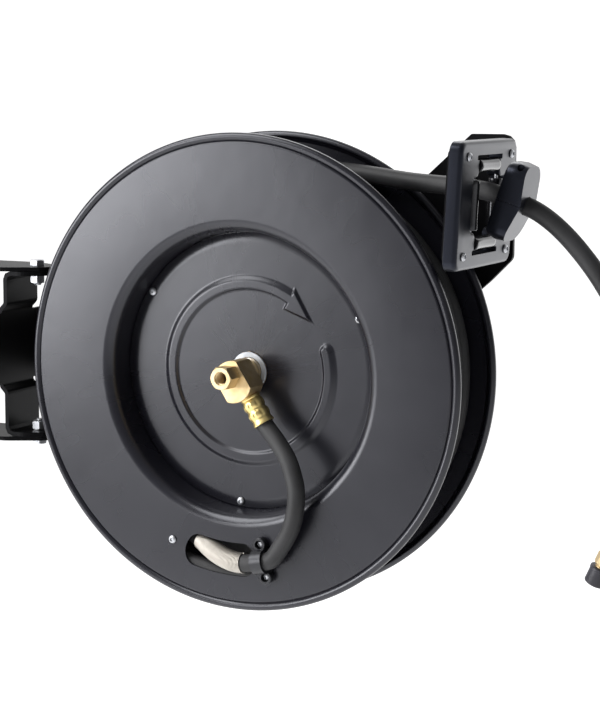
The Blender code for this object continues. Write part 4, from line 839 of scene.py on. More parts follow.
def hex_bolt(name, bolt, length, body, matrix, node):
    """Bolt with a chamfered head on z = 0 and a threaded shank below."""
    radius, across, height = bolt
    head = hex_head(name, across, height, (False, True))
    rows = [(0.0, -length), (radius - 0.0008, -length)]
    rows += thread(radius, -length + 0.0006, -FRAME_SHEET, THREAD_PITCH, 0.0005)
    rows += [(radius, -FRAME_SHEET), (radius, height / 2), (0.0, height / 2)]
    join(head, turned("shank", rows, 40))
    join(head, rod("washer face", across * 0.47, -0.00001, 0.0004, 48))
    return piece(head, ZINC_PLATE, body, matrix, (node,))


def hex_nut(name, bore, across, height, body, matrix, node):
    """Nut with chamfered corners and a threaded bore."""
    nut = hex_head(name, across, height)
    flare = bore + 0.0006
    rows = [(0.0, -0.001), (flare, -0.001), (bore, 0.0007)]
    rows += thread(bore + 0.0003, 0.0009, height - 0.0009, THREAD_PITCH, 0.0004)
    rows += [(bore, height - 0.0007), (flare, height + 0.001), (0.0, height + 0.001)]
    cut(nut, turned("bore", rows, 40))
    return piece(nut, ZINC_PLATE, body, matrix, (node,))


# Camera

def aim_camera():
    """Camera at the photograph's viewing angle."""
    data = bpy.data.cameras.new("camera")
    data.lens = CAMERA_LENS
    data.sensor_width = CAMERA_SENSOR
    data.shift_x, data.shift_y = CAMERA_SHIFT
    data.clip_end = 50.0
    camera = bpy.data.objects.new("camera", data)
    bpy.context.scene.collection.objects.link(camera)
    back = tuple(-c for c in CAMERA_FORWARD)
    camera.matrix_world = frame_matrix(CAMERA_PLACE, CAMERA_RIGHT, CAMERA_UP, back)
    bpy.context.scene.camera = camera


# Free end of the hose

def hanging_route():
    """Chosen points of the free hose, in the plane of the drum's middle, from the stop down."""
    y = FRONT_Y - DRUM_MIDDLE
    reaches = (STOP_LENGTH / 2 + GAP, STOP_LENGTH - 0.004, STOP_LENGTH + 0.004)
    points = [STOP @ Vector((reach, 0, 0)) for reach in reaches]
    route = [(0.2777, 0.1424), (0.2947, 0.1275), (0.3063, 0.1148), (0.3178, 0.1005),
             (0.3385, 0.0690), (0.3560, 0.0330), (0.3660, -0.0080), (0.3655, -0.0500),
             (0.3545, -0.0890), (0.3395, -0.1240)]
    return points + [Vector((DRUM_X + x, y, z)) for x, z in route]


def end_fitting(seat):
    """Brass end with two grooves, a hexagon for the spanner and a threaded nose."""
    radius, length = FITTING_RADIUS, FITTING_LENGTH
    neck, nose = radius * 0.78, radius * 0.70
    edge, groove, groove_half = 0.0004, 0.0005, 0.0006
    profile = [(0.0, 0.0), (radius - edge, 0.0), (radius, edge)]
    for middle in (0.0022, 0.0052):
        profile += [(radius, middle - groove_half), (radius - groove, middle), (radius, middle + groove_half)]
    profile += [(radius, 0.0094), (radius - edge, 0.0100), (neck, 0.0106), (neck, 0.0126)]
    profile += [(neck, length - FITTING_SPIGOT - 0.0024), (nose, length - FITTING_SPIGOT - 0.002)]
    profile += thread(nose, length - FITTING_SPIGOT - 0.0018, length - 0.0005, 0.0012, 0.0004)
    profile += [(radius * 0.62, length), (0.0, length)]
    fitting = turned("hose_end_fitting", profile, 64)
    spanner = hex_head("spanner", 2 * radius * 0.87, 0.0105)
    join(fitting, moved(spanner, Matrix.Translation((0, 0, 0.0130))))
    return piece(fitting, TURNED_BRASS, "carrier", seat, ("end_fitting",))


def end_cap(seat):
    """Rubber cap over the fitting's nose, with a thicker mouth and a rounded end."""
    inner = FITTING_RADIUS * 0.7 + GAP
    low = FITTING_LENGTH - FITTING_SPIGOT + GAP
    floor = FITTING_LENGTH + GAP
    high = low + CAP_LENGTH
    wall = CAP_RADIUS - 0.0005
    edge = 0.0018
    profile = [(inner, low), (CAP_RADIUS - 0.0006, low), (CAP_RADIUS, low + 0.0006),
               (CAP_RADIUS, low + 0.0026), (wall, low + 0.0032), (wall, high - edge)]
    for k in range(1, 7):
        corner = polar(edge, 15 * k)
        profile.append((wall - edge + corner.x, high - edge + corner.y))
    profile += [(0.0, high), (0.0, floor), (inner, floor)]
    cap = turned_cup("hose_end_cap", profile)
    return piece(cap, CAP_RUBBER, "carrier", seat, ("end_cap",))


def turned_cup(name, profile, steps=64):
    """Cup turned from a profile that meets the axis twice: outside and inside of its end."""
    end = next(k for k, (radius, _) in enumerate(profile) if radius == 0)
    bm = bmesh.new()
    rings = []
    for k in range(steps):
        angle = 2 * math.pi * k / steps
        rings.append([bm.verts.new((r * math.cos(angle), r * math.sin(angle), z)) for r, z in profile])
    for near, far in zip(rings, rings[1:] + rings[:1]):
        for n in range(len(profile)):
            if n != end:
                m = (n + 1) % len(profile)
                bm.faces.new((near[n], near[m], far[m], far[n]))
    for tip in (end, end + 1):
        bmesh.ops.pointmerge(bm, verts=[ring[tip] for ring in rings], merge_co=(0, 0, profile[tip][1]))
    return finished(name, bm)


def hose_end():
    """Hanging hose with its brass end and cap."""
    route = smooth_curve(hanging_route(), 0.019)
    path = smooth_curve(route, 0.004)
    path[0], path[-1] = route[0], route[-1]
    tail = piece(swept("hanging_hose", path, HOSE_RADIUS), HOSE_RUBBER, "carrier", None,
                 ("hose_tail",))
    down = (route[-1] - route[-2]).normalized()
    across = Vector((0, 1, 0))
    seat = frame_matrix(route[-1] + down * GAP, across.cross(down), across, down)
    fitting = end_fitting(seat)
    plug = end_cap(seat)
    length_of_hose = sum((b - a).length for a, b in zip(path, path[1:]))
    print(f"hanging hose: {length_of_hose:.4f} m")


# Drum

def flange_path(recess):
    """Centre path of a pressed flange: recess foot, tapered wall, lip, annulus, groove and rolled rim."""
    mid = -SHEET / 2
    bead = BEAD_RADIUS - SHEET / 2
    bead_centre = Vector((FLANGE_RADIUS - BEAD_RADIUS, BEAD_PROUD - BEAD_RADIUS))
    seat = -recess - SHEET - GAP - SHEET / 2
    floor = RECESS_FLOOR_RADIUS + SHEET / 2
    inner = bead_centre.x - bead
    corners = [(CASE_RADIUS + GAP, seat), (floor, seat), (RECESS_RADIUS, mid),
               (inner - GROOVE_WIDTH, mid), (inner - GROOVE_SLOPE, -GROOVE_DEPTH)]
    rounds = [0.0, RECESS_FOOT_ROUND, RECESS_LIP_ROUND, GROOVE_ROUND, 0.0]
    path = rounded(corners, rounds, 12, closed=False)
    return path + [bead_centre + polar(bead, angle) for angle in ROLL_ANGLES]


def arc_slot():
    """Outline of the slot that follows the rim: inner arc, rounded end, outer arc, rounded end."""
    steps = 24
    middle = (SLOT_INNER_RADIUS + SLOT_OUTER_RADIUS) / 2
    half = (SLOT_OUTER_RADIUS - SLOT_INNER_RADIUS) / 2
    bulge = math.degrees(SLOT_CORNER / middle)
    first, last = SLOT_START_ANGLE + bulge, SLOT_END_ANGLE - bulge
    outline = []
    for side, near, far in ((-1, first, last), (1, last, first)):
        for k in range(steps + 1):
            outline.append(polar(middle + side * half, near + (far - near) * k / steps))
        for k in range(1, steps):
            angle = math.pi * k / steps
            radius = middle + side * half * math.cos(angle)
            outline.append(polar(radius, far - side * bulge * math.sin(angle)))
    return outline


def flanges():
    """Pressed front and rear sheets of the drum."""
    front = turned("pressed_front_flange", sheet_outline(flange_path(FRONT_RECESS), SHEET), ROUND_STEPS)
    cut(front, prism("slot", arc_slot(), -CUT_PAST, CUT_PAST))
    piece(front, SHEET_COAT, "drum", FRONT_VIEW, ("flange_front",))
    rear = turned("pressed_rear_flange", sheet_outline(flange_path(BACK_RECESS), SHEET), ROUND_STEPS)
    flip = Matrix.Translation((0, 0, -DRUM_WIDTH)) @ Matrix.Rotation(math.pi, 4, "X")
    piece(rear, SHEET_COAT, "drum", FRONT_VIEW @ flip, ("flange_back",))


def arrow_distance(radius, degrees):
    """Signed distances from the edges of the arrow's band and of its head, below zero inside."""
    span = ARROW_TAIL_ANGLE - ARROW_NECK_ANGLE
    back = (ARROW_TAIL_ANGLE - degrees) % 360
    half = ARROW_WIDTH / 2
    point = polar(radius, degrees)
    if back <= span:
        band = abs(radius - ARROW_RADIUS) - half
    else:
        tail = (point - polar(ARROW_RADIUS, ARROW_TAIL_ANGLE)).length
        neck = (point - polar(ARROW_RADIUS, ARROW_NECK_ANGLE)).length
        band = min(tail, neck) - half
    half_head = ARROW_HEAD_WIDTH / 2
    corners = [polar(ARROW_HEAD_RADIUS + half_head, ARROW_NECK_ANGLE),
               polar(ARROW_HEAD_RADIUS, ARROW_TIP_ANGLE),
               polar(ARROW_HEAD_RADIUS - half_head, ARROW_NECK_ANGLE)]
    head = -1.0
    for a, b in zip(corners, corners[1:] + corners[:1]):
        edge = (b - a).normalized()
        head = max(head, edge.x * (point.y - a.y) - edge.y * (point.x - a.x))
    return band, head


def arrow_height(radius, degrees):
    """Height of the raised arrow over the cover's face, its outer slope the gentler one."""
    band, head = arrow_distance(radius, degrees)
    slope = ARROW_OUTER_SLOPE if radius > ARROW_RADIUS else ARROW_INNER_SLOPE
    return ARROW_HEIGHT * max(smooth_share(0.5 - band / slope), smooth_share(0.5 - head / ARROW_HEAD_SLOPE))


def arrow_cover():
    """Disc over the spring with the arrow raised in it, and the rim's small fold."""
    inside, outside = ARROW_ZONE
    radii = [BEARING_SEAT, BEARING_SEAT + 0.0005, 0.030, 0.045, 0.060, 0.0655]
    radius = inside
    while radius < outside:
        radii.append(radius)
        radius += 0.0004
    radii += [0.100, 0.108, 0.116, COVER_EDGE - COVER_FOLD]
    steps = 720
    rings = []
    for r in radii:
        ring = []
        for k in range(steps):
            degrees = 360 * k / steps
            lift = arrow_height(r, degrees) if inside <= r < outside else 0.0
            ring.append((*polar(r, degrees), lift))
        rings.append(ring)
    for r, level in ((COVER_EDGE, -COVER_FOLD), (COVER_EDGE, -SHEET), (BEARING_SEAT, -SHEET)):
        rings.append([(*polar(r, 360 * k / steps), level) for k in range(steps)])
    cover = solid("arrow_cover", *skin(rings, True), 60.0)
    face = FRONT_VIEW @ Matrix.Translation((0, 0, -FRONT_RECESS))
    piece(cover, SHEET_COAT, "drum", face, ("spring_cover",))


def bearing_washer():
    """Bright collar in front of the bush."""
    low = -FRONT_RECESS + GAP
    high = low + COLLAR_THICKNESS
    outer = BEARING_SEAT - GAP - 0.0003
    bore = COLLAR_BORE_RADIUS
    edge = 0.0004
    profile = [(bore, low), (outer, low), (outer, high - edge), (outer - edge, high), (bore + edge, high),
               (bore, high - edge)]
    washer = turned("bearing_washer", profile, 96)
    piece(washer, COLLAR_STEEL, "drum", FRONT_VIEW, ("bearing_collar",))


def drum_screws():
    """Screws of the cover and the spare one of the flange."""
    numbers = (1, 2, 3)
    seats = [(*polar(COVER_SCREW_CIRCLE, COVER_SCREW_ANGLE + 120 * k), -FRONT_RECESS + GAP) for k in range(3)]
    seats.append((*polar(FLANGE_SCREW_RADIUS, FLANGE_SCREW_ANGLE), GAP))
    places = [FRONT_VIEW @ Matrix.Translation(seat) @ Matrix.Rotation(0.4 * k, 4, "Z")
              for k, seat in enumerate(seats)]
    button_screws([f"cover_button_{n}" for n in numbers] + ["flange_button"],
                  [f"cover_screw_{n}" for n in numbers] + ["flange_screw"],
                  SMALL_SCREW, SHORT_SHANK, "drum", places)


# Winding

def winding_points(per_loop):
    """Outer layer of hose: loops side by side, each shifting one pitch in a short crossover."""
    step = 360 / per_loop
    late = LEAVE_ANGLE - CROSSOVER_END
    early = LEAVE_ANGLE - CROSSOVER_START
    count = int((360 * WRAPS - late) / step)
    points = []
    for k in range(count, -1, -1):
        before_end = k * step
        wrap = WRAPS - 1
        for loop in range(1, WRAPS):
            wrap -= smooth_share((before_end - 360 * loop + late) / (late - early))
        point = polar(SURFACE_RADIUS, LEAVE_ANGLE + before_end)
        points.append(Vector((point.x, point.y, -loop_depth(wrap))))
    return points


def loop_depth(wrap):
    """Depth of a loop's middle behind the front flange's face."""
    return SHEET + SIDE_PLAY + HOSE_RADIUS + WRAP_PITCH * wrap


def leaving_point():
    """Where the hose leaves the winding, and its direction there."""
    end = winding_points(96)[-1]
    spoke = (end - Vector((0, 0, end.z))).normalized()
    return end, Vector((spoke.y, -spoke.x, 0))


def wound_hose():
    """Outer layer as one tube, with the straight start of the run to the guide."""
    end, tangent = leaving_point()
    points = winding_points(96) + [end + tangent * HOSE_RADIUS * k for k in (1, 2)]
    outer = swept("wound_hose", points, HOSE_RADIUS, 28)
    piece(outer, HOSE_RUBBER, "drum", FRONT_VIEW, ("hose_winding",))


def buried_hose():
    """Loops of the layer under it, cut away where the hose's inner end comes up."""
    under = SURFACE_RADIUS - LAYER_PITCH - GAP - 0.0015
    profile = [(BARREL_RADIUS + GAP, -DRUM_WIDTH + SHEET + 2 * GAP)]
    for loop in range(WRAPS - 1, -1, -1):
        for k in range(13):
            bulge = polar(HOSE_RADIUS, 180 * k / 12)
            profile.append((under + bulge.y, -loop_depth(loop) - bulge.x))
    profile.append((BARREL_RADIUS + GAP, -SHEET - 2 * GAP))
    core = turned("buried_hose", profile, 192)
    span = POCKET_END - POCKET_START
    sweep = [POCKET_START + span * k / 12 for k in range(13)]
    sector = [polar(BARREL_RADIUS - CUT_PAST, a) for a in sweep]
    sector += [polar(FLANGE_RADIUS, a) for a in sweep[::-1]]
    cut(core, prism("pocket", sector, -SHEET - POCKET_DEPTH, CUT_PAST))
    piece(core, HOSE_RUBBER, "drum", FRONT_VIEW, ("hose_core",))


def hose_to_guide():
    """Run of the hose from the winding through the guide into the stop."""
    end, tangent = leaving_point()
    start = end + tangent * 2 * HOSE_RADIUS + tangent * GAP
    to_front = FRONT_VIEW.inverted()
    route = [start, start + tangent * 0.030, start + tangent * 0.062 + Vector((0, 0, 0.0045)),
             to_front @ Vector((DRUM_X + 0.1450, FRONT_Y + 0.0575, 0.1728)),
             to_front @ Vector((DRUM_X + 0.1950, FRONT_Y - DRUM_MIDDLE + 0.002, 0.1700))]
    route += [to_front @ STOP @ Vector((reach, 0, 0)) for reach in (-0.012, 0, STOP_LENGTH / 2 - GAP)]
    run = swept("hose_to_guide", smooth_curve(route, 0.004), HOSE_RADIUS)
    piece(run, HOSE_RUBBER, "carrier", FRONT_VIEW, ("hose_lead",))


# Inner end of the hose

def inner_hose_route():
    """Chosen points of the hose from the ferrule, over the flange and through the slot."""
    start = FERRULE_START + FERRULE_SOCKET + GAP
    end = FERRULE_START + FERRULE_LENGTH
    lift = SADDLE_HOSE_HEIGHT
    points = [(*(OUTLET_AXIS * reach), OUTLET_DEPTH) for reach in (start, start + 0.010, end, end + 0.004)]
    points += [(0.0420, -0.0560, 0.0005), (0.0568, -0.0715, 0.0070), (0.0660, -0.0917, 0.0112),
               (0.0678, -0.1048, 0.0125), (0.0635, -0.1279, 0.0118), (0.0530, -0.1475, 0.0104)]
    points += [tuple(SADDLE @ Vector((x, 0, lift))) for x in (0.010, 0.003, -0.003, -0.010)]
    points += [(0.0060, -0.1685, 0.0090), (-0.0120, -0.1658, 0.0035), (-0.0270, -0.1618, -0.0045),
               (-0.0400, -0.1572, -0.0120), (-0.0560, -0.1500, -0.0158)]
    points += [(*polar(0.1585, POCKET_START + a), -0.0164) for a in (4.4, 0.3)]
    return smooth_curve(points, 0.0125)


def inner_hose():
    """Whip hose from the swivel to the slot."""
    whip = swept("whip_hose", smooth_curve(inner_hose_route(), 0.0035), HOSE_RADIUS, 40)
    piece(whip, HOSE_RUBBER, "drum", FRONT_VIEW, ("hose_inner_end",))


def kink_guard():
    """Close-wound wire on the whip hose where it enters the slot."""
    per_curl = 16
    fine = smooth_curve(inner_hose_route(), GUARD_PITCH / per_curl)
    edge = SADDLE @ Vector((-SADDLE_WIDTH / 2 - GUARD_LEAD, 0, SADDLE_HOSE_HEIGHT))
    first = min(range(len(fine)), key=lambda k: (fine[k] - edge).length)
    radius = HOSE_RADIUS + GAP + GUARD_WIRE / 2
    coil = []
    for k in range(GUARD_CURLS * per_curl + 1):
        ahead = (fine[first + k + 1] - fine[first + k - 1]).normalized()
        across = ahead.cross(Vector((0, 0, 1))).normalized()
        turn = Matrix.Rotation(2 * math.pi * k / per_curl, 3, ahead)
        coil.append(fine[first + k] + turn @ across * radius)
    guard = swept("kink_guard_coil", coil, GUARD_WIRE / 2, 8)
    piece(guard, NICKEL_WIRE, "drum", FRONT_VIEW, ("kink_guard",))


def saddle():
    """Moulded clamp over the hose with two cupped ears and their screws."""
    inner = HOSE_RADIUS + HOSE_CLEARANCE
    crown = inner + SADDLE_WALL
    foot = GAP
    middle = Vector((0, SADDLE_HOSE_HEIGHT))
    arch = [tuple(middle + polar(crown, 7.5 * k)) for k in range(25)]
    hollow = [tuple(middle + polar(inner, 180 - 7.5 * k)) for k in range(25)]
    outline = [(crown, foot)] + arch + [(-crown, foot), (-inner, foot)] + hollow + [(inner, foot)]
    clamp = prism("hose_clamp", outline, -SADDLE_WIDTH / 2, SADDLE_WIDTH / 2)
    moved(clamp, frame_matrix((0, 0, 0), (0, 1, 0), (0, 0, 1), (1, 0, 0)))
    ear_top = foot + EAR_HEIGHT
    ear_foot = foot + 0.0001
    edge = 0.0006
    floor = foot + CUP_FLOOR
    sides = (SADDLE_SCREW_SPACING / 2, -SADDLE_SCREW_SPACING / 2)
    for y in sides:
        profile = [(0.0, ear_foot), (EAR_RADIUS, ear_foot), (EAR_RADIUS, ear_top - edge),
                   (EAR_RADIUS - edge, ear_top), (0.0, ear_top)]
        join(clamp, moved(turned("ear", profile, 48), Matrix.Translation((0, y, 0))))
    for y in sides:
        cut(clamp, moved(rod("cup", CUP_RADIUS, floor, ear_top + 0.002, 48), Matrix.Translation((0, y, 0))))
    eased(clamp, 0.0005, 3)
    piece(clamp, SADDLE_PLASTIC, "drum", FRONT_VIEW @ SADDLE, ("hose_saddle",))
    seats = [FRONT_VIEW @ SADDLE @ Matrix.Translation((0, y, floor + GAP)) for y in sides]
    button_screws(("clamp_button_1", "clamp_button_2"), ("saddle_screw_1", "saddle_screw_2"), CLAMP_SCREW,
                  SHORT_SHANK, "drum", seats)


# Brass

def swivel():
    """Swivel body with two flats, on its shank."""
    front, back = SWIVEL_FRONT, SWIVEL_BACK
    ease = 0.0006
    shoulder = 0.0030
    profile = [(0.0, back), (SWIVEL_RADIUS - shoulder, back)]
    for k in range(1, 7):
        corner = polar(shoulder, -90 + 15 * k)
        profile.append((SWIVEL_RADIUS - shoulder + corner.x, back + shoulder + corner.y))
    profile += [(SWIVEL_RADIUS, front - ease), (SWIVEL_RADIUS - ease, front), (0.0, front)]
    body = turned("swivel_block", profile, 144)
    shift = Matrix.Translation((*SWIVEL_SHIFT, 0))
    moved(body, shift)
    half, reach = SWIVEL_FLATS / 2, 0.04
    flats = prism("flats", [(-reach, -half), (reach, -half), (reach, half), (-reach, half)], -0.03, 0.03)
    keep(body, moved(flats, shift @ Matrix.Rotation(math.radians(OUTLET_ANGLE), 4, "Z")))
    low, high = -AXLE_FRONT_DEPTH + GAP, back + 0.002
    edge = 0.0005
    shank = [(0.0, low), (SHANK_RADIUS - edge, low), (SHANK_RADIUS, low + edge), (SHANK_RADIUS, high),
             (0.0, high)]
    join(body, turned("shank", shank, 72))
    cut(body, rod("bore", STEM_RADIUS + GAP, low - CUT_PAST, front + CUT_PAST, 64))
    eased(body, 0.0004, 3)
    piece(body, TURNED_BRASS, "drum", FRONT_VIEW, ("swivel_body",))


def inlet():
    """Hexagon inlet with its threaded bore, on the stem."""
    shoulder = SWIVEL_FRONT + GAP
    mouth = shoulder + INLET_LENGTH
    nose = moved(hex_head("inlet_hexagon", INLET_HEX, INLET_LENGTH, (False, True)),
                 Matrix.Translation((0, 0, shoulder)))
    low, high = -AXLE_FRONT_DEPTH - 0.0180, shoulder + 0.004
    edge = 0.0005
    stem = [(0.0, low), (STEM_RADIUS - edge, low), (STEM_RADIUS, low + edge), (STEM_RADIUS, high),
            (0.0, high)]
    join(nose, turned("stem", stem, 64))
    bottom = mouth - INLET_BORE_DEPTH
    flare = INLET_BORE_RADIUS + 0.0007
    bore = [(0.0, bottom), (INLET_BORE_RADIUS - 0.0008, bottom)]
    bore += thread(INLET_BORE_RADIUS, bottom + 0.0008, mouth - 0.0010, 0.0013, 0.0007)
    bore += [(INLET_BORE_RADIUS, mouth - 0.0008), (flare, mouth + 0.0001), (flare, mouth + CUT_PAST),
             (0.0, mouth + CUT_PAST)]
    cut(nose, turned("bore", bore, 64))
    cut(nose, prism("air passage", circle(0.0035, 40), OUTLET_DEPTH - 0.004, mouth))
    eased(nose, 0.0003, 2)
    piece(nose, TURNED_BRASS, "carrier", FRONT_VIEW, ("inlet_stem",))


def ferrule():
    """Crimped sleeve on the hose, with two bulged rings and a flared end."""
    start, end = FERRULE_START, FERRULE_START + FERRULE_LENGTH
    socket = start + FERRULE_SOCKET
    shape = [(0.0040, 0.0086), (0.0046, 0.0092), (0.0062, 0.0092), (0.0068, 0.0086), (0.0080, 0.0090),
             (0.0100, 0.0098), (0.0120, 0.0100), (0.0140, 0.0097), (0.0158, 0.0089), (0.0166, 0.0087),
             (0.0176, 0.0090), (0.0194, 0.0099), (0.0214, 0.0100), (0.0234, 0.0097), (0.0250, 0.0090),
             (0.0262, 0.0089), (0.0280, 0.0094), (0.0304, 0.0100), (0.0310, 0.0098)]
    drawn_radius = 0.0100
    outer = [(wide * FERRULE_RADIUS / drawn_radius, start + along) for along, wide in shape]
    crimps = 8
    rings = (start + 0.0120, start + 0.0214)
    dent_depth, dent_length = 0.0007, 0.0022

    def dent(angle, z):
        """Depth of the crimping jaws' marks, which lie on the two rings."""
        if z < start + 0.0040:
            return 0.0
        press = max(0.0, math.cos(crimps * angle)) ** 1.5
        return dent_depth * press * max(math.exp(-((z - ring) / dent_length) ** 2) for ring in rings)

    profile = outer + [(HOSE_RADIUS + GAP, end), (HOSE_RADIUS + GAP, socket), (0.0060, socket),
                       (0.0060, start + 0.0040)]
    fine = []
    for a, b in zip(profile, profile[1:]):
        cuts = max(1, int(abs(b[1] - a[1]) / 0.0007)) if a in outer and b in outer else 1
        fine += [(a[0] + (b[0] - a[0]) * k / cuts, a[1] + (b[1] - a[1]) * k / cuts) for k in range(cuts)]
    fine.append(profile[-1])
    sleeve = turned("crimped_ferrule", fine, 128, dent, 50.0)
    piece(sleeve, CRIMPED_BRASS, "drum", FRONT_VIEW @ OUTLET, ("hose_ferrule",))


def ferrule_neck():
    """Coppery neck between the swivel and the ferrule."""
    start = FERRULE_START
    pipe, edge, collar = 0.0058, 0.0074, 0.0078
    profile = [(0.0, start - 0.0060), (pipe, start - 0.0060), (pipe, start - 0.0004), (edge, start - 0.0004),
               (collar, start), (collar, start + 0.0034), (edge, start + 0.0040), (pipe, start + 0.0040),
               (pipe, start + 0.0090), (0.0, start + 0.0090)]
    piece(turned("ferrule_neck", profile, 96), COPPERY_BRASS, "drum", FRONT_VIEW @ OUTLET)


# Roller guide: each roller's name, place, stance, length and body

ROLLERS = (("left", 0.0, -SIDE_ROLLER_SPACING / 2, True, SIDE_ROLLER_LENGTH, "side_roller_left"),
           ("right", 0.0, SIDE_ROLLER_SPACING / 2, True, SIDE_ROLLER_LENGTH, "side_roller_right"),
           ("top", LEVEL_ROLLER_SPACING / 2, 0.0, False, LEVEL_ROLLER_LENGTH, "level_roller_top"),
           ("bottom", -LEVEL_ROLLER_SPACING / 2, 0.0, False, LEVEL_ROLLER_LENGTH, "level_roller_bottom"))


def window_outline(grow):
    """Cross-shaped window for the four rollers, its corners rounded into lips."""
    room = ROLLER_RADIUS + POCKET_GAP + grow
    side = SIDE_ROLLER_SPACING / 2 + room
    level = LEVEL_ROLLER_SPACING / 2 + room
    tall = SIDE_ROLLER_LENGTH / 2 + POCKET_GAP + grow
    wide = LEVEL_ROLLER_LENGTH / 2 + POCKET_GAP + grow
    lip = LIP_RADIUS - grow
    corner = 0.0008 + grow
    points = [(wide, -level), (wide, -tall), (side, -tall), (side, tall), (wide, tall), (wide, level),
              (-wide, level), (-wide, tall), (-side, tall), (-side, -tall), (-wide, -tall), (-wide, -level)]
    return rounded(points, [corner, lip, corner, corner, lip, corner] * 2, 8)


def core_out_outline(grow, centre):
    """Slot-shaped core-out at a height on the housing's face."""
    shape = rounded_rectangle(CORE_OUT_LENGTH + 2 * grow, CORE_OUT_HEIGHT + 2 * grow,
                              CORE_OUT_HEIGHT / 4 + grow, 4)
    return [(p.x, p.y + centre) for p in shape]


def flared(name, outline_at, back, front, edge):
    """Cutter that opens out in a quarter round towards the front face."""
    sections = [[(*p, back) for p in outline_at(0.0)]]
    steps = 6
    for k in range(steps + 1):
        angle = math.pi / 2 * k / steps
        depth = front - edge + edge * math.sin(angle)
        sections.append([(*p, depth) for p in outline_at(edge * (1 - math.cos(angle)))])
    sections.append([(*p, front + CUT_PAST) for p in outline_at(edge)])
    return loft(name, sections)


def guide_housing():
    """Moulded plate with a soft front edge, the window with its lips, and two core-outs."""
    edge = HOUSING_EDGE
    back = -HOUSING_THICKNESS
    rows = [(back, 0.0008), (back + 0.0008, 0.0)]
    for k in range(9):
        corner = polar(edge, 90 * k / 8)
        rows.append((-edge + corner.y, edge - corner.x))
    sections = []
    for depth, inward in rows:
        outline = rounded_rectangle(HOUSING_WIDTH - 2 * inward, HOUSING_HEIGHT - 2 * inward,
                                    HOUSING_CORNER - inward * 0.7, 12)
        sections.append([(*p, depth) for p in outline])
    housing = loft("guide_plate", sections, 40.0)
    cut(housing, flared("window", window_outline, back - CUT_PAST, 0.0, LIP_ROUND))
    for centre in (-CORE_OUT_CENTRE, CORE_OUT_CENTRE):
        slot = flared("core out", lambda grow: core_out_outline(grow, centre), back - CUT_PAST, 0.0, 0.0005)
        cut(housing, slot)
    for y, z in housing_screw_places():
        seat = rod("screw seat", 0.0023, back - CUT_PAST, CUT_PAST, 24)
        cut(housing, moved(seat, Matrix.Translation((y, z, 0))))
    to_drawing = GUIDE_DRAWING.inverted() @ GUIDE
    for _, z, y, upright, length, _ in ROLLERS:
        reach = length / 2 + PIN_HOLD + GAP
        hole = prism("pin hole", circle(PIN_RADIUS + GAP, 24), -reach, reach)
        cut(housing, moved(hole, to_drawing @ roller_matrix(z, y, upright)))
    piece(housing, HOUSING_PLASTIC, "carrier", GUIDE_DRAWING, ("guide_housing",))


def housing_screw_places():
    """Centres of the four screws that hold the guide's housing."""
    y, z = HOUSING_SCREW_WIDTH / 2, HOUSING_SCREW_HEIGHT / 2
    return [(-y, z), (y, z), (-y, -z), (y, -z)]


def roller_matrix(z, y, upright):
    """Frame of a roller with its axis along z, in the guide's frame."""
    level = frame_matrix((0, 0, 0), (1, 0, 0), (0, 0, -1), (0, 1, 0))
    return Matrix.Translation((-ROLLER_SETBACK, y, z)) @ (Matrix.Identity(4) if upright else level)


def roller_profile(length):
    """Outline of a roller with eased ends and a slight waist, round its bore."""
    half = length / 2 - GAP
    edge, waist = 0.0009, 0.0003
    bore = PIN_RADIUS + GAP
    profile = [(bore, -half)]
    for k in range(6):
        corner = polar(edge, -90 + 18 * k)
        profile.append((ROLLER_RADIUS - edge + corner.x, -half + edge + corner.y))
    for k in range(-6, 7):
        share = k / 6
        profile.append((ROLLER_RADIUS - waist * (1 - share * share), (half - edge) * share))
    for k in range(6):
        corner = polar(edge, 18 * k)
        profile.append((ROLLER_RADIUS - edge + corner.x, half - edge + corner.y))
    return profile + [(bore, half)]


def rollers():
    """Four rollers and their steel pins."""
    for name, z, y, upright, length, body in ROLLERS:
        matrix = GUIDE @ roller_matrix(z, y, upright)
        made = turned(f"guide_roller_{name}", roller_profile(length), 64)
        piece(made, ROLLER_PLASTIC, body, matrix, (f"roller_{name}",))
        reach = length / 2 + PIN_HOLD
        ease = 0.0003
        profile = [(0.0, -reach), (PIN_RADIUS - ease, -reach), (PIN_RADIUS, -reach + ease),
                   (PIN_RADIUS, reach - ease), (PIN_RADIUS - ease, reach), (0.0, reach)]
        pin = turned(f"guide_pin_{name}", profile, 32)
        piece(pin, ZINC_PLATE, "carrier", matrix, (f"roller_pin_{name}",))


def guide_screws():
    """Four screws in the housing's corners."""
    places = [GUIDE @ Matrix.Translation((GAP, y, z)) @ UPRIGHT @ Matrix.Rotation(0.5 * k, 4, "Z")
              for k, (y, z) in enumerate(housing_screw_places())]
    numbers = range(1, 5)
    button_screws([f"guide_button_{n}" for n in numbers], [f"guide_screw_{n}" for n in numbers], SMALL_SCREW,
                  HOUSING_THICKNESS + 0.006, "carrier", places)


# Hose stop

def stop_section(x):
    """Outline of the stop across the hose at a distance from its flat face."""
    rows = [(0.0, 0.930, 0.930, 0.0105), (0.0010, 0.960, 0.960, 0.0115), (0.0080, 1.0, 1.0, 0.0120),
            (0.0215, 0.970, 0.950, 0.0120), (STOP_LENGTH, 0.940, 0.900, 0.0110)]
    for low, high in zip(rows, rows[1:]):
        if x <= high[0] + 1e-9:
            share = (x - low[0]) / (high[0] - low[0])
            tall, wide, corner = (a + (b - a) * share for a, b in zip(low[1:], high[1:]))
            break
    return [(x, *p) for p in rounded_rectangle(STOP_WIDE * wide, STOP_TALL * tall, corner, 10)]


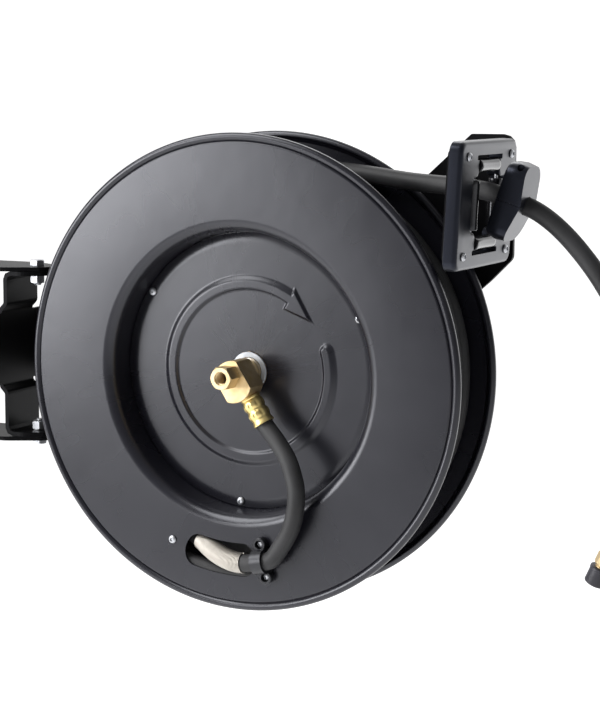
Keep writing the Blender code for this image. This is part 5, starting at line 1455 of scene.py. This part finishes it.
def hose_stop():
    """Two moulded halves clamped on the hose, each with its edge eased at the parting line."""
    stations = [0.0, 0.0004, 0.0010, 0.0030, 0.0055, 0.0080, 0.0125, 0.0170, 0.0215, STOP_LENGTH]
    brow = STOP_LENGTH - STOP_BROW
    wedge = [(-0.01, -0.05), (brow, -STOP_TALL / 2), (STOP_LENGTH, 0.0), (brow, STOP_TALL / 2), (-0.01, 0.05)]
    far = 0.1
    everywhere = [(-far, -far), (far, -far), (far, far), (-far, far)]
    screws = [(STOP_SCREW_SETBACK, y) for y in (-STOP_SCREW_SPACING / 2, STOP_SCREW_SPACING / 2)]
    for name, low, high in (("upper", GAP / 2, far), ("lower", -far, -GAP / 2)):
        half = loft(f"stop_shell_{name}", [stop_section(x) for x in stations], 40.0)
        keep(half, prism("half", everywhere, low, high))
        keep(half, moved(prism("brow", wedge, -0.05, 0.05), LYING))
        cut(half, moved(prism("bore", circle(HOSE_RADIUS + GAP, 64), -far, far), UPRIGHT))
        for place in screws:
            cut(half, prism("screw hole", circle(STOP_SCREW[0] + GAP, 32, place), -0.018, far))
            if name == "upper":
                ring = circle(STOP_SCREW[1] / 2 + GAP, 40, place)
                cut(half, prism("counterbore", ring, STOP_SCREW_SEAT, far))
        eased(half, 0.0005, 3)
        piece(half, HOUSING_PLASTIC, "carrier", STOP, (f"stop_{name}",))
    places = [STOP @ Matrix.Translation((*place, STOP_SCREW_SEAT + GAP)) for place in screws]
    button_screws(("stop_button_1", "stop_button_2"), ("stop_screw_1", "stop_screw_2"), STOP_SCREW,
                  STOP_SHANK, "carrier", places)


# Bolts, nuts and the pawl's spring on the frame

def frame_fasteners():
    """Swing bolts with their nuts, the guide arm's bolts and the axle's nut."""
    upside_down = Matrix.Rotation(math.pi, 4, "X")
    length = 2 * FRAME_SHEET + SWING_NUT_HEIGHT + 0.003
    under = LUG_HALF_HEIGHT - FRAME_SHEET - GAP - SWING_NUT_HEIGHT
    for name, side in (("top", 1), ("bottom", -1)):
        flip = Matrix.Identity(4) if side > 0 else upside_down
        seat = Matrix.Translation((PIVOT_X, 0, side * (BRACKET_HALF_HEIGHT + GAP))) @ flip
        hex_bolt(f"pivot_bolt_{name}", HEX_BOLT, length, "wall", seat, f"swing_bolt_{name}")
        place = Matrix.Translation((PIVOT_X, 0, side * under)) @ flip
        hex_nut(f"pivot_nut_{name}", HEX_BOLT[0] + GAP, HEX_BOLT[1], SWING_NUT_HEIGHT, "wall", place,
                f"swing_nut_{name}")
    rear = -ARM_DEPTH - FRAME_SHEET - GAP
    for number, angle in enumerate(ARM_BOLT_ANGLES, 1):
        seat = FRONT_VIEW @ Matrix.Translation((*polar(ARM_BOLT_CIRCLE, angle), rear)) @ upside_down
        hex_bolt(f"arm_bolt_{number}", HEX_BOLT, 2 * FRAME_SHEET + 0.004, "carrier", seat,
                 f"guide_arm_bolt_{number}")
    place = FRONT_VIEW @ Matrix.Translation((0, 0, rear - AXLE_NUT[2]))
    hex_nut("axle_end_nut", AXLE_NUT[0] + GAP, AXLE_NUT[1], AXLE_NUT[2], "carrier", place, "axle_nut")


def pawl_coil():
    """Round-wire coil spring on the pawl's pin, as large as the plain one that it stands for."""
    low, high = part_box("pawl_spring")
    centre = (low + high) / 2
    wire = PAWL_SPRING_WIRE / 2
    radius = (high.x - low.x) / 2 - wire
    start, rise = high.y - wire, low.y - high.y + 2 * wire
    per_turn = 28
    count = PAWL_SPRING_TURNS * per_turn
    coil = []
    for k in range(count + 1):
        angle = 2 * math.pi * k / per_turn
        coil.append((centre.x + radius * math.cos(angle), start + rise * k / count,
                     centre.z + radius * math.sin(angle)))
    piece(swept("pawl_coil", coil, wire, 10), SPRING_STEEL, "carrier", None, ("pawl_spring",))


def carried_over():
    """Finishes and eased edges on the CAD pieces that stay."""
    finishes = {"frame_coat": FRAME_COAT, "pressed_coat": SHEET_COAT, "zinc": ZINC_PLATE,
                "steel": TURNED_STEEL, "spring_steel": SPRING_STEEL, "bronze": BUSH_BRONZE,
                "brass": TURNED_BRASS, "hose_rubber": HOSE_RUBBER, "moulded_plastic": HOUSING_PLASTIC,
                "roller_plastic": ROLLER_PLASTIC}
    slots = {row["node"]: row["material_slot"] for row in frame["record"]["subparts"]}
    eases = {"wall_bracket": 0.0008, "main_arm": 0.0008, "guide_arm": 0.0008, "pawl": 0.0005,
             "ratchet_wheel": 0.0004, "axle": 0.0004}
    for name, node in frame["nodes"].items():
        if node.hide_render:
            continue
        node.data.materials.clear()
        node.data.materials.append(finishes[slots[name]])
        node.data.shade_smooth()
        node.data.set_sharp_from_angle(angle=math.radians(30))
        if name in eases:
            eased(node, eases[name], 2)


# Room

def backdrop(paint):
    """One sheet for the floor and the wall behind, joined by a round sweep."""
    near, far, wide, high, sweep = -4.8, 7.0, 16.0, 9.0, 2.0
    level = CAD_BOX[0].z - 0.60
    side = rounded([(near, level), (far, level), (far, level + high)], [0.0, sweep, 0.0], 16, closed=False)
    points = [(x, p.x, p.y) for x in (-wide, wide) for p in side]
    count = len(side)
    faces = [(k, k + 1, count + k + 1, count + k) for k in range(count - 1)]
    sheet = solid("pale_backdrop", points, faces)
    sheet.data.materials.append(paint.material)


def pale_paint():
    """Matt white that looks plain white to the eye and in reflections, and still takes a shadow."""
    paint = Paint("pale backdrop", 0.9, Specular_IOR_Level=0.0, Base_Color=(0.86, 0.86, 0.86, 1.0))
    path = paint.tree.nodes.new("ShaderNodeLightPath")
    eye, gloss, through = [Field(paint, path.outputs[f"Is {ray} Ray"])
                           for ray in ("Camera", "Glossy", "Transmission")]
    seen = eye.math("MAXIMUM", gloss).math("MAXIMUM", through)
    plain = Field(paint, paint.shader.outputs[0])
    glow = paint.node("ShaderNodeEmission", None, {"Color": (1.0, 1.0, 1.0, 1.0), "Strength": BACKDROP_GLOW})
    both = paint.node("ShaderNodeAddShader", None, {0: plain, 1: glow})
    choice = paint.node("ShaderNodeMixShader", None, {0: seen, 1: plain, 2: both})
    paint.tree.links.new(choice.socket, paint.tree.nodes["Material Output"].inputs["Surface"])
    return paint


def room():
    """Pale floor and wall, an even surround and soft lamps."""
    backdrop(pale_paint())
    world = bpy.data.worlds.new("surround")
    world.use_nodes = True
    bpy.context.scene.world = world
    surround = world.node_tree.nodes["Background"].inputs
    surround["Color"].default_value = (1.0, 1.0, 1.0, 1.0)
    surround["Strength"].default_value = SURROUND
    for name, direction, distance, size, power in LAMPS:
        lamp(name, Vector(direction).normalized(), distance, size, power)
    bpy.context.scene.view_settings.view_transform = "Standard"


def lamp(name, out, distance, size, power):
    """Soft rectangular lamp, aimed at the drum from a direction."""
    data = bpy.data.lights.new(name, "AREA")
    data.shape = "RECTANGLE"
    data.size, data.size_y = size
    data.energy = power
    item = bpy.data.objects.new(name, data)
    bpy.context.scene.collection.objects.link(item)
    item.location = Vector((DRUM_X, FRONT_Y, 0.0)) + out * distance
    item.rotation_mode = "QUATERNION"
    item.rotation_quaternion = out.to_track_quat("Z", "Y")
    item.visible_camera = False


aim_camera()
hose_end()
flanges()
arrow_cover()
bearing_washer()
drum_screws()
wound_hose()
buried_hose()
hose_to_guide()
inner_hose()
kink_guard()
saddle()
swivel()
inlet()
ferrule()
ferrule_neck()
guide_housing()
rollers()
guide_screws()
hose_stop()
frame_fasteners()
pawl_coil()
carried_over()
room()
